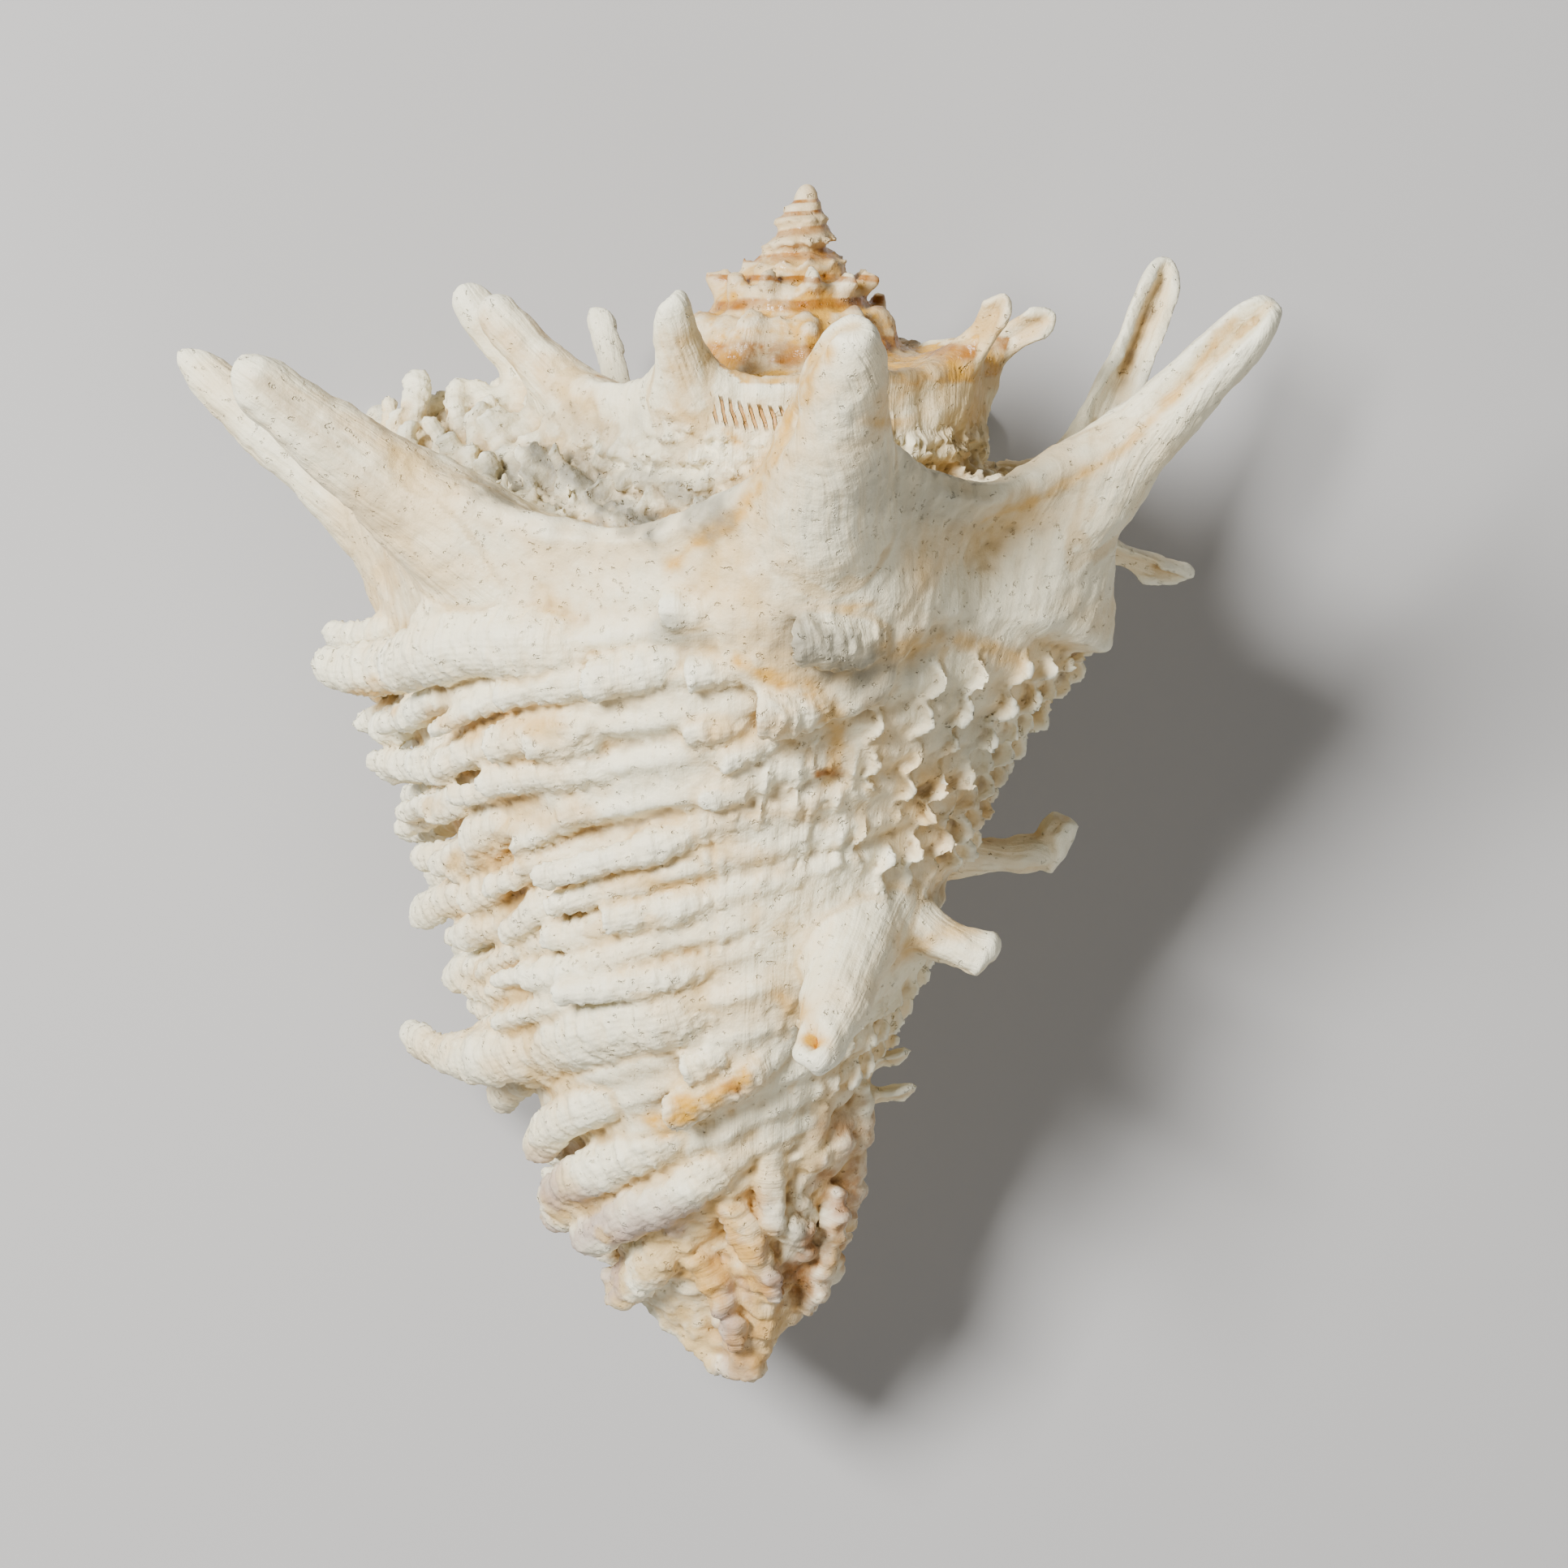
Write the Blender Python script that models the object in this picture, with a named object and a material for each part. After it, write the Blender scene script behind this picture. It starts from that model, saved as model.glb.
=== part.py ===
# Spiny vase shell: one natural grown piece, lying on its opening with the back up.
# Metres, +Z up, apex towards +Y, the canal's end towards -Y, the open lip at -X.
# The shell is worked out in millimetres around its own coiling axis and then laid down on the floor.
# Angles are in degrees around that axis: 0 looks straight up, growth runs towards -X, a turn is 360.
# A row is a line along the growth, named by its distance from the apex (mm) at angle 0.

import math

import bmesh
import bpy
import numpy as np
from mathutils import Vector
from mathutils.geometry import tessellate_polygon

for old in list(bpy.data.objects):
    bpy.data.objects.remove(old)

# growth of the last whorl in one turn, across and along the axis
GROW_R = 1.65
GROW_U = 1.5
# angle of the outer lip, rows of the seam above the last whorl and of its shoulder
LIP = 114.0
SEAM_ROW = 24.9
SHOULDER_ROW = 41.6
LAST_ROW = 133.0
# the shoulder line: turns before the back, distance from the apex and radius (mm)
TURNS = [-8.0, -7.0, -6.0, -5.0, -4.0, -3.0, -2.0, -1.0, -0.75, -0.5, -0.25, 0.0, 0.28, 0.45]
TURN_U = [0.8, 2.1, 3.8, 6.6, 9.8, 11.9, 15.8, 23.0, 28.2, 33.2, 37.6, 41.6, 46.2, 49.0]
TURN_R = [1.0, 2.2, 3.2, 4.4, 6.1, 8.4, 12.4, 25.0, 28.5, 32.3, 36.6, 41.4, 46.5, 49.5]
# the side of the last whorl at angle 0
SIDE_ROW = [41.6, 46.9, 51.5, 57.1, 65.3, 76.1, 87.5, 98.9, 110.4, 121.7, 128.5, 133.0]
SIDE_R = [41.4, 42.4, 42.8, 41.6, 38.2, 32.6, 29.0, 26.2, 19.8, 13.6, 8.6, 2.2]
# ribs: row at angle 0, height, half width of their scales
RIBS = [(49.6, 1.1, 0), (54.0, 0.8, 2.7), (59.0, 0.8, 2.7), (63.4, 0.8, 2.6), (68.2, 0.9, 2.7), (72.6, 0.8, 2.5),
        (77.4, 0.9, 2.7), (81.8, 0.8, 2.6), (86.2, 0.8, 2.6), (90.0, 0.7, 2.2), (95.0, 1.0, 0), (100.5, 0.7, 0),
        (104.5, 0.8, 2.2), (109.0, 0.9, 2.3), (113.5, 0.9, 2.2), (118.0, 0.9, 2.1), (122.5, 0.9, 1.9)]
# ribs run steeper than the rows on the lip side: their pull per turn on each row
PULL_ROW = [41.6, 47.0, 80.0, 94.0, 110.0, 120.0]
PULL = [1.0, 1.8, 1.8, 1.4, 1.22, 1.06]
# shoulder spines: angle of the foot, tip (angle, radius, distance from the apex),
# radius at foot, middle and tip, half opening of the fluted wall, height of the raised shoulder
SPINES = [
    (-452.0, (-443.0, 31.5, 13.6), (4.4, 2.7, 2.0), 120.0, 5.0),
    (-420.0, (-411.0, 31.0, 11.5), (4.4, 2.7, 2.0), 110.0, 5.0),
    (-331.0, (-334.0, 34.5, 12.9), (5.2, 3.2, 2.6), 140.0, 6.0),
    (-290.0, (-282.0, 39.0, 15.8), (4.8, 2.8, 1.9), 130.0, 6.0),
    (-268.0, (-269.0, 42.0, 14.5), (4.8, 2.8, 2.0), 130.0, 6.0),
    (-222.0, (-219.0, 42.0, 17.0), (4.4, 2.4, 1.8), 130.0, 5.0),
    (-152.0, (-152.0, 55.0, 29.0), (6.4, 3.8, 3.0), 150.0, 6.0),
    (-104.0, (-107.0, 49.0, 5.5), (6.8, 3.4, 3.0), 105.0, 10.0),
    (-50.0, (-56.0, 65.5, 9.8), (8.0, 5.0, 2.4), 146.0, 17.0),
    (-5.0, (-5.0, 72.0, 14.6), (8.2, 6.3, 2.7), 172.0, 20.0),
    (50.0, (62.0, 73.5, 24.2), (8.6, 5.7, 3.1), 140.0, 20.0),
    (88.0, (94.0, 77.0, 25.0), (8.2, 4.7, 2.4), 130.0, 16.0),
    (110.0, (131.0, 74.0, 34.0), (7.4, 4.6, 3.2), 140.0, 10.0),
]
# lower spines on the side: angle and rib row of the foot, tip, radii, half opening, bow
LOWER_SPINES = [
    (-17.0, 94.0, (-11.0, 44.0, 101.5), (6.4, 4.6, 2.8), 120.0, 0.10),
    (-44.0, 94.0, (-56.0, 34.5, 91.5), (5.2, 3.7, 3.0), 130.0, 0.0),
    (-92.0, 94.0, (-95.0, 39.5, 79.6), (4.8, 3.2, 2.8), 130.0, -0.05),
    (-92.0, 50.5, (-101.0, 53.0, 44.2), (3.4, 2.3, 1.9), 100.0, 0.0),
    (-76.0, 120.0, (-80.0, 20.5, 107.0), (2.4, 1.8, 1.5), 120.0, -0.1),
    (-76.0, 125.0, (-80.0, 21.5, 111.5), (2.4, 1.8, 1.5), 120.0, -0.1),
    (-140.0, 94.0, (-142.0, 34.0, 84.0), (4.2, 3.2, 2.6), 120.0, 0.0),
]
# large scales: angle, rib row at angle 0, length, half width, rise at the start, rise added by the end, drift
LARGE_SCALES = [
    (21.0, 49.6, 32.0, 3.6, 3.0, 5.0, 0.0), (62.0, 50.0, 22.0, 3.9, 12.0, 20.0, -3.0),
    (74.0, 47.6, 16.0, 2.6, 16.0, 20.0, -3.0), (88.0, 50.0, 17.0, 3.4, 20.0, 12.0, -2.0),
    (7.0, 48.2, 8.0, 2.8, 12.0, 4.0, 0.0), (-6.0, 53.6, 11.5, 4.0, 16.0, 14.0, 0.0),
    (-1.0, 57.6, 15.0, 3.4, 6.0, 10.0, 0.0),
    (-4.0, 95.4, 40.0, 6.0, 0.0, 4.0, 1.0), (44.0, 94.8, 37.0, 4.4, 4.0, 34.0, -5.0),
    (90.0, 94.8, 15.0, 3.2, 26.0, 18.0, 0.0),
    (-14.0, 106.0, 15.0, 2.7, 8.0, 10.0, 0.0), (36.0, 104.5, 20.0, 2.4, 6.0, 14.0, 0.0),
    (18.0, 112.5, 26.0, 2.9, 5.0, 14.0, 0.0), (44.0, 112.5, 19.0, 2.8, 8.0, 16.0, 0.0),
    (6.0, 102.0, 7.0, 3.2, 14.0, 12.0, 0.0), (-15.0, 119.0, 25.0, 2.5, 4.0, 10.0, 0.0),
    (40.0, 125.0, 13.0, 2.4, 10.0, 12.0, 0.0),
    (-176.0, 97.1, 24.0, 4.4, 78.0, 12.0, 0.0), (-215.0, 97.1, 10.0, 3.2, 60.0, 20.0, 0.0),
]
# the edge where the smooth shoulder ends on the right side: its angles and rows, its thickness,
# and the angle, width and height of the spout in it
EDGE_ANGLE = [-110.0, -75.0, -62.5, -42.5, -32.5, -25.0, -20.0, -17.5, -12.0, -4.0, 5.0]
EDGE_ROW = [56.0, 57.0, 56.0, 52.5, 51.2, 51.2, 53.0, 58.8, 61.0, 60.0, 56.0]
EDGE_HIGH = 2.6
SPOUT = (-63.0, 9.0, 5.0)
# the canal: distance from the apex, offset, radius
CANAL = [(86.0, 0.0, 6.0), (97.0, 0.0, 11.0), (108.0, 0.0, 14.0), (118.0, 0.4, 13.4), (128.0, 1.4, 11.8),
         (137.0, 2.6, 9.0), (144.0, 3.0, 6.0), (149.0, 2.4, 3.2), (150.4, 2.2, 1.2)]
CANAL_GROOVE = 128.0
# wall behind the lip, how far the hollow reaches back
WALL = 3.2
HOLLOW_TURN = 200.0
# fused mesh: cell size and share of the faces that is kept
CELL = 0.00085
KEEP = 0.0385
# how the shell lies: pitch and lean of the axis, point of the axis above the origin, floor under it (mm)
PITCH = math.radians(8.0)
LEAN = math.radians(-3.55)
MIDDLE_U = 75.0
OFFSET = (7.5, 0.9)
FLOOR = -40.6


def smooth(x, xs, ys):
    """Reads a table with a soft curve through its points."""
    x = np.asarray(x, float)
    xs, ys = np.asarray(xs, float), np.asarray(ys, float)
    slope = np.gradient(ys, xs)
    i = np.clip(np.searchsorted(xs, x) - 1, 0, len(xs) - 2)
    h = xs[i + 1] - xs[i]
    t = np.clip((x - xs[i]) / h, 0, 1)
    return ((2 * t**3 - 3 * t**2 + 1) * ys[i] + (t**3 - 2 * t**2 + t) * h * slope[i]
            + (3 * t**2 - 2 * t**3) * ys[i + 1] + (t**3 - t**2) * h * slope[i + 1])


def profile(turn, row):
    """Radius and distance from the apex of the bare shell."""
    turn, row = np.broadcast_arrays(np.asarray(turn, float), np.asarray(row, float))
    key_u, key_r = smooth(turn, TURNS, TURN_U), smooth(turn, TURNS, TURN_R)
    old_u, old_r = smooth(turn - 1.0, TURNS, TURN_U), smooth(turn - 1.0, TURNS, TURN_R)
    seam_u = old_u + np.interp(turn, [-1.2, -0.6], [0.52, 0.10]) * (key_u - old_u)
    seam_r = old_r * np.interp(turn, [-1.2, -0.6], [0.97, 0.94])
    v = np.clip((row - SEAM_ROW) / (SHOULDER_ROW - SEAM_ROW), 0, 1)
    full = np.interp(turn, [0.06, 0.2], [0.0, 1.0])
    dip = np.interp(turn, [-2.2, -1.4], [0.42, 0.95]) * v * (1 - v) * (key_u - seam_u) * (1 - full)
    full = full * 4 * v * (1 - v)
    below = np.maximum(row, SHOULDER_ROW)
    share = np.clip(1 - (below - SHOULDER_ROW) / 12.0, 0, 1) ** 2
    side_u = below * GROW_U**turn + share * (key_u - SHOULDER_ROW * GROW_U**turn)
    side_r = smooth(below, SIDE_ROW, SIDE_R) * GROW_R**turn + share * (key_r - SIDE_R[0] * GROW_R**turn)
    # the last half turn is fuller on the lip side and drawn in on the right
    left = np.interp(turn, [0.0, 0.17, 0.25, 0.32], [0.0, 0.035, 0.06, 0.06])
    right = np.interp(turn, [-0.55, -0.42, -0.26, -0.11, 0.0], [0.0, -0.02, -0.115, -0.03, 0.0])
    side_r = side_r * (1 + left * np.interp(below, [41.6, 47, 110, 117, 123], [0, 1, 1, 0, -1.2])
                       + right * np.interp(below, [58, 68, 105, 115], [0, 1, 1, 0]))
    upper = row <= SHOULDER_ROW
    return (np.where(upper, seam_r + (key_r - seam_r) * v - dip + 2.0 * full, side_r),
            np.where(upper, seam_u + (key_u - seam_u) * v + dip - 6.0 * full, side_u))


def track(angle, row):
    """The row that a rib has reached at an angle."""
    eased = np.maximum(angle, -12.0) + 0.25 * np.minimum(np.asarray(angle) + 12.0, 0)
    return row * np.interp(row, PULL_ROW, PULL) ** (eased / 360.0)


def untrack(angle, row):
    """The row at angle 0 of the rib that passes a place."""
    first = np.asarray(row, float)
    for _ in range(6):
        first = row / (track(angle, first) / first)
    return first


def place(angle, r, u):
    """Cylinder values to x, y, z of the shell's own frame."""
    a = np.radians(angle)
    return np.stack([-np.sin(a) * r, -u + 0 * a, np.cos(a) * r], axis=-1)


def surface(angle, row):
    """The shell's face, with the shoulder drawn out towards each spine."""
    angle, row = np.broadcast_arrays(np.asarray(angle, float), np.asarray(row, float))
    r, u = profile(angle / 360.0, row)
    out = place(angle, r, u)
    for at, tip, sizes, opening, high in SPINES:
        foot = place(at, smooth(at / 360.0, TURNS, TURN_R), smooth(at / 360.0, TURNS, TURN_U))
        way = place(*tip) - foot
        way = way / np.linalg.norm(way)
        broad = (angle - at) / np.where(angle < at, 13.0, 11.5)
        swell = (1 + broad**2) ** -1.35 * np.clip((75 - np.abs(angle - at)) / 25.0, 0, 1)
        swell = swell * np.exp(-np.abs((row - SHOULDER_ROW) / np.where(row < SHOULDER_ROW, 5.2, 7.0)) ** 1.7)
        out = out + (high * swell)[..., None] * way
    return out


def axes(angle, row):
    """Point, growth direction, outward normal, direction up the side."""
    angle, row = np.asarray(angle, float), np.asarray(row, float)
    grow = surface(angle + 0.5, row) - surface(angle - 0.5, row)
    up = surface(angle, row - 0.3) - surface(angle, row + 0.3)
    grow = grow / np.linalg.norm(grow, axis=-1, keepdims=True)
    up = up - (up * grow).sum(-1, keepdims=True) * grow
    up = up / np.linalg.norm(up, axis=-1, keepdims=True)
    return surface(angle, row), grow, np.cross(up, grow), up


def rib_height(angle, row):
    """How far the ribs stand out of the side."""
    first = untrack(angle, row)
    return sum(high * np.exp(-((first - at) / 1.2) ** 2) for at, high, half in RIBS)


def grid(rows, columns, start=0, turned=False):
    """Faces of a grid that closes around its columns."""
    faces = []
    for i in range(rows - 1):
        for j in range(columns):
            k = (j + 1) % columns
            quad = [start + i * columns + j, start + (i + 1) * columns + j,
                    start + (i + 1) * columns + k, start + i * columns + k]
            faces.append(quad[::-1] if turned else quad)
    return faces


def trough(line, back, side, radius, opening, wall, nose, arc=9):
    """A fluted scale or spine: an arc of a tube carried along a line, closed as a thin solid."""
    across = np.linspace(-1, 1, arc)
    ang = np.radians(opening)[:, None] * across[None, :]
    ahead = np.gradient(line, axis=0)
    ahead = ahead / np.linalg.norm(ahead, axis=1, keepdims=True)
    t = np.linspace(0, 1, len(line))
    pull = (nose * t[:, None] ** 4 * across[None, :] ** 2)[..., None] * ahead[:, None]
    way = np.cos(ang)[..., None] * back[:, None] + np.sin(ang)[..., None] * side[:, None]
    outer = line[:, None] + radius[:, None, None] * way - pull
    inner = line[:, None] + (radius - wall)[:, None, None] * way - pull
    ring = np.concatenate([outer, inner[:, ::-1]], axis=1)
    m = ring.shape[1]
    faces = grid(len(line), m)
    for first, turned in ((0, False), ((len(line) - 1) * m, True)):
        for j in range(arc - 1):
            quad = [first + j, first + j + 1, first + m - 2 - j, first + m - 1 - j]
            faces.append(quad[::-1] if turned else quad)
    return ring.reshape(-1, 3), faces


def spine(at, foot, tip, sizes, opening, wall=2.0, lean=0.05, to_apex=0.0, steps=14):
    """A fluted spine from a foot on the shell to its tip, open towards the growth and, by to_apex, the canal."""
    goal = place(*tip)
    length = np.linalg.norm(goal - foot)
    way = (goal - foot) / length
    start = foot - way * sizes[0] * 1.1
    bow = foot + 0.5 * (goal - foot) + place(at, lean * length, 0.0)
    t = np.linspace(0, 1, steps)[:, None]
    line = (1 - t) ** 2 * start + 2 * t * (1 - t) * bow + t**2 * goal
    ahead = np.gradient(line, axis=0)
    ahead = ahead / np.linalg.norm(ahead, axis=1, keepdims=True)
    a = math.radians(at)
    grow = np.array([-math.cos(a), 0.0, -math.sin(a)]) - np.array([0.0, to_apex, 0.0])
    back = -(grow - (ahead @ grow)[:, None] * ahead)
    back = back / np.linalg.norm(back, axis=1, keepdims=True)
    t = t[:, 0]
    radius = smooth(t, [0.0, 0.5, 1.0], sizes)
    spread = 85.0 + (opening - 85.0) * np.clip(t * 2.2, 0, 1)
    return trough(line, back, np.cross(back, ahead), radius, spread, np.minimum(wall, 0.75 * radius), sizes[2] * 1.2, 11)


def scale(angle, row, length, half, rise, curl, drift=0.0, wall=1.5, steps=9):
    """One fluted scale that leaves its rib and lies or stands in the growth direction."""
    t = np.linspace(0, 1, steps)
    slope = np.radians(rise + curl * t)
    mean = (slope[1:] + slope[:-1]) / 2
    along = np.concatenate([[0], np.cumsum(np.cos(mean))]) * length / (steps - 1)
    lift = np.concatenate([[0], np.cumsum(np.sin(mean))]) * length / (steps - 1)
    at = angle + np.degrees(along / float(profile(angle / 360.0, float(track(angle, row)))[0]))
    point, grow, normal, up = axes(at, track(at, row) + drift * t**1.5)
    sink = 0.6 + half * (0.62 + 0.8 * np.clip(1 - t * 2.6, 0, 1) ** 2)
    line = point + normal * (lift + 0.9 - sink)[:, None]
    back = -np.sin(slope)[:, None] * grow + np.cos(slope)[:, None] * normal
    radius = half * (1 - 0.16 * t) * (0.7 + 0.3 * np.clip(t * 2.6, 0, 1))
    return trough(line, back, up, radius, np.full(steps, 88.0), np.minimum(wall, 0.75 * radius), half * 0.7, 7)


def vary(*key):
    """A steady number between -1 and 1 for a few numbers."""
    x = 12.9898
    for i, k in enumerate(key):
        x = x * 1.37 + k * (78.233 + 11.7 * i)
    x = math.sin(x) * 43758.5453
    return 2 * (x - math.floor(x)) - 1


def hollow_ring(angle):
    """The hollow behind the lip in the half plane at one angle, narrowing to its blind end."""
    turn = angle / 360.0
    r, u = profile(turn, np.concatenate([np.linspace(SEAM_ROW + 3.5, SHOULDER_ROW, 8),
                                         np.linspace(SHOULDER_ROW + 2, 120.0, 22)]))
    dr, du = np.gradient(r), np.gradient(u)
    size = np.hypot(dr, du)
    r, u = r - du / size * WALL, u + dr / size * WALL
    inner_u = np.linspace(u[-1] - 1.0, u[0] + 2.0, 22)
    old_r, old_u = profile(turn - 1.0, np.linspace(SHOULDER_ROW, LAST_ROW, 60))
    inner_r = np.maximum(np.interp(inner_u, old_u, old_r, right=0.0) + 1.6, 6.5)
    inner_r = np.minimum(inner_r, np.interp(inner_u, u, r) - 0.6)
    r, u = np.concatenate([r, inner_r]), np.concatenate([u, inner_u])
    open_share = math.sin(min(1.0, 0.1 + 0.9 * (angle - LIP + HOLLOW_TURN) / 60.0) * math.pi / 2)
    r, u = r.mean() + (r - r.mean()) * open_share, u.mean() + (u - u.mean()) * open_share
    return place(np.full(len(r), angle), r, u)


points, faces, count = [], [], 0


def add(new_points, new_faces):
    global count
    points.append(np.asarray(new_points))
    faces.extend([int(i) + count for i in face] for face in new_faces)
    count += len(new_points)


# the coiled body: half sections from the apex to the lip
angles = np.concatenate([np.arange(-2880.0, -900.0, 9.0), np.arange(-900.0, LIP - 0.01, 3.0), [LIP]])
rows = np.concatenate([np.linspace(SEAM_ROW, SHOULDER_ROW, 12)[:-1], np.linspace(SHOULDER_ROW, LAST_ROW, 70)])
angle_net, row_net = np.meshgrid(angles, rows, indexing="ij")
net, grow_net, normal_net, up_net = axes(angle_net, row_net)
lift = rib_height(angle_net, row_net) * np.minimum(1.0, GROW_R ** (angle_net / 360.0))
# the smooth shoulder ends in a thick edge above the open cups of the right side
edge = np.interp(angle_net, EDGE_ANGLE, EDGE_ROW)
over = 1 / (1 + np.exp((row_net - edge) / 0.3)) * np.clip((row_net - 43) / 6, 0, 1)
over = over * np.clip((angle_net + 115) / 25.0, 0, 1) * np.clip((14 - angle_net) / 12.0, 0, 1)
lift = lift * (1 - 0.8 * over) + EDGE_HIGH * over
# and swells out into a low spout
spout_at, spout_wide, spout_high = SPOUT
lift = lift + spout_high * over * np.exp(-((angle_net - spout_at) / spout_wide) ** 2 - ((row_net - edge) / 6.0) ** 2)
net = net + normal_net * lift[..., None]
top = place(angles, 0 * angles, profile(angles / 360.0, SEAM_ROW)[1])[:, None]
low = place(angles, 0 * angles, profile(angles / 360.0, LAST_ROW)[1])[:, None]
sections = np.concatenate([top, net, low], axis=1)
width = sections.shape[1]
body_faces = grid(len(angles), width) + [list(range(width))]

# the hollow behind the lip and the lip's face between the two outlines
steps = np.linspace(LIP - HOLLOW_TURN, LIP, 60)
hollow = np.array([hollow_ring(a) for a in steps])
inner_width = hollow.shape[1]
inner_start = len(angles) * width
body_faces += grid(len(steps), inner_width, inner_start, turned=True)
body_faces.append(list(range(inner_start, inner_start + inner_width))[::-1])
body_points = np.concatenate([sections.reshape(-1, 3), hollow.reshape(-1, 3)])
outline = list(range((len(angles) - 1) * width, len(angles) * width))
inline = list(range(inner_start + (len(steps) - 1) * inner_width, inner_start + len(steps) * inner_width))
out_way = place(LIP, 1.0, 0.0)
flat = [[Vector((float(body_points[i] @ out_way), float(-body_points[i][1]), 0.0)) for i in loop]
        for loop in (outline, inline)]
both = outline + inline
body_faces += [[both[i] for i in tri] for tri in tessellate_polygon(flat)]
add(body_points, body_faces)

# the canal with its groove
canal_u, canal_x, canal_r = (np.array(v) for v in zip(*CANAL))
u = np.linspace(canal_u[0], canal_u[-1], 40)
a = np.linspace(0, 360, 28, endpoint=False)
groove = np.exp(-(((a - CANAL_GROOVE + 180) % 360 - 180) / 26.0) ** 2)
r = smooth(u, canal_u, canal_r)[:, None] * (1 - 0.62 * groove[None, :])
tube = place(a[None, :] + 0 * r, r, u[:, None] + 0 * r)
tube[..., 0] += smooth(u, canal_u, canal_x)[:, None]
add(tube.reshape(-1, 3), grid(40, 28) + [list(range(28))[::-1], list(range(39 * 28, 40 * 28))])

for at, tip, sizes, opening, high in SPINES:
    foot = place(at, smooth(at / 360.0, TURNS, TURN_R), smooth(at / 360.0, TURNS, TURN_U))
    add(*spine(at, foot, tip, sizes, opening, wall=2.0 if opening < 170 else 9.0))
for at, row, tip, sizes, opening, lean in LOWER_SPINES:
    add(*spine(at, surface(at, track(at, row)), tip, sizes, opening, lean=lean, to_apex=1.6))
for values in LARGE_SCALES:
    add(*scale(*values))
for row, high, half in RIBS:
    if not half:
        continue
    reach = float(np.interp(row, [53, 60, 88, 99, 123], [14.0, 18.0, 16.0, 12.0, 8.0]))
    at = LIP - 2.0 - 6.0 * abs(vary(row, 1))
    while at > -205:
        near = float(profile(at / 360.0, float(track(at, row)))[0])
        if at > (5.0 if row < 97 else 74.0):
            edge_on = min(1.0, max(0.0, (at - 48.0) / 40.0))
            add(*scale(at, row, reach * (1 + 0.2 * vary(row, at)) * (1 - 0.12 * edge_on), half,
                       5 + 3 * vary(at, row) + 15 * edge_on, 9.0 + 6 * edge_on, -2.0 * edge_on))
            at -= math.degrees(0.68 * reach * (1 + 0.25 * vary(at, row, 2)) / near)
        elif row > 97 or at > -15:
            at -= 5.0
        else:
            add(*scale(at, row, 4.6, 2.2, 58.0, 10.0, wall=1.3))
            at -= math.degrees(7.5 * (1 + 0.15 * vary(at, row)) / near)

# lay the shell down: the axis pitches up towards the apex and leans a little
cp, sp, cl, sl = math.cos(PITCH), math.sin(PITCH), math.cos(LEAN), math.sin(LEAN)
turn_x = np.array([[1, 0, 0], [0, cp, -sp], [0, sp, cp]])
turn_z = np.array([[cl, -sl, 0], [sl, cl, 0], [0, 0, 1]])
cloud = (np.concatenate(points) + [0, MIDDLE_U, 0]) @ (turn_z @ turn_x).T + [OFFSET[0], OFFSET[1], -FLOOR]

mesh = bpy.data.meshes.new("shell")
mesh.from_pydata((cloud * 0.001).tolist(), [], faces)
mesh.update()
shell = bpy.data.objects.new("shell", mesh)
bpy.context.scene.collection.objects.link(shell)

lime = bpy.data.materials.new("shell lime")
lime.use_nodes = True
lime.node_tree.nodes["Principled BSDF"].inputs["Base Color"].default_value = (0.78, 0.72, 0.63, 1.0)
lime.node_tree.nodes["Principled BSDF"].inputs["Roughness"].default_value = 0.6
mesh.materials.append(lime)

fuse = shell.modifiers.new("fuse", "REMESH")
fuse.mode = "VOXEL"
fuse.voxel_size = CELL
fuse.use_smooth_shade = False
thin = shell.modifiers.new("thin", "DECIMATE")
thin.ratio = KEEP
thin.use_collapse_triangulate = True

# the spine tips under the shell are worn flat where it rests
ground_mesh = bpy.data.meshes.new("ground")
cube = bmesh.new()
bmesh.ops.create_cube(cube, size=1.0)
bmesh.ops.scale(cube, vec=(0.4, 0.4, 0.1), verts=cube.verts)
bmesh.ops.translate(cube, vec=(0.0, 0.0, -0.05), verts=cube.verts)
cube.to_mesh(ground_mesh)
cube.free()
ground = bpy.data.objects.new("ground", ground_mesh)
bpy.context.scene.collection.objects.link(ground)
ground.hide_render = True
ground.display_type = "WIRE"
wear = shell.modifiers.new("wear", "BOOLEAN")
wear.operation = "DIFFERENCE"
wear.solver = "EXACT"
wear.object = ground
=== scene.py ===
# Spiny vase shell lying on its opening, back up, worked out in millimetres around its coiling axis and laid
# down at the end. Angles are degrees around that axis: 0 looks straight up, growth runs towards -X. A row is
# a line along the growth, named by its distance from the apex (mm) at angle 0.
import math
import bpy
import numpy as np
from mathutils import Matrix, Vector
from mathutils.bvhtree import BVHTree
from mathutils.geometry import tessellate_polygon


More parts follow.
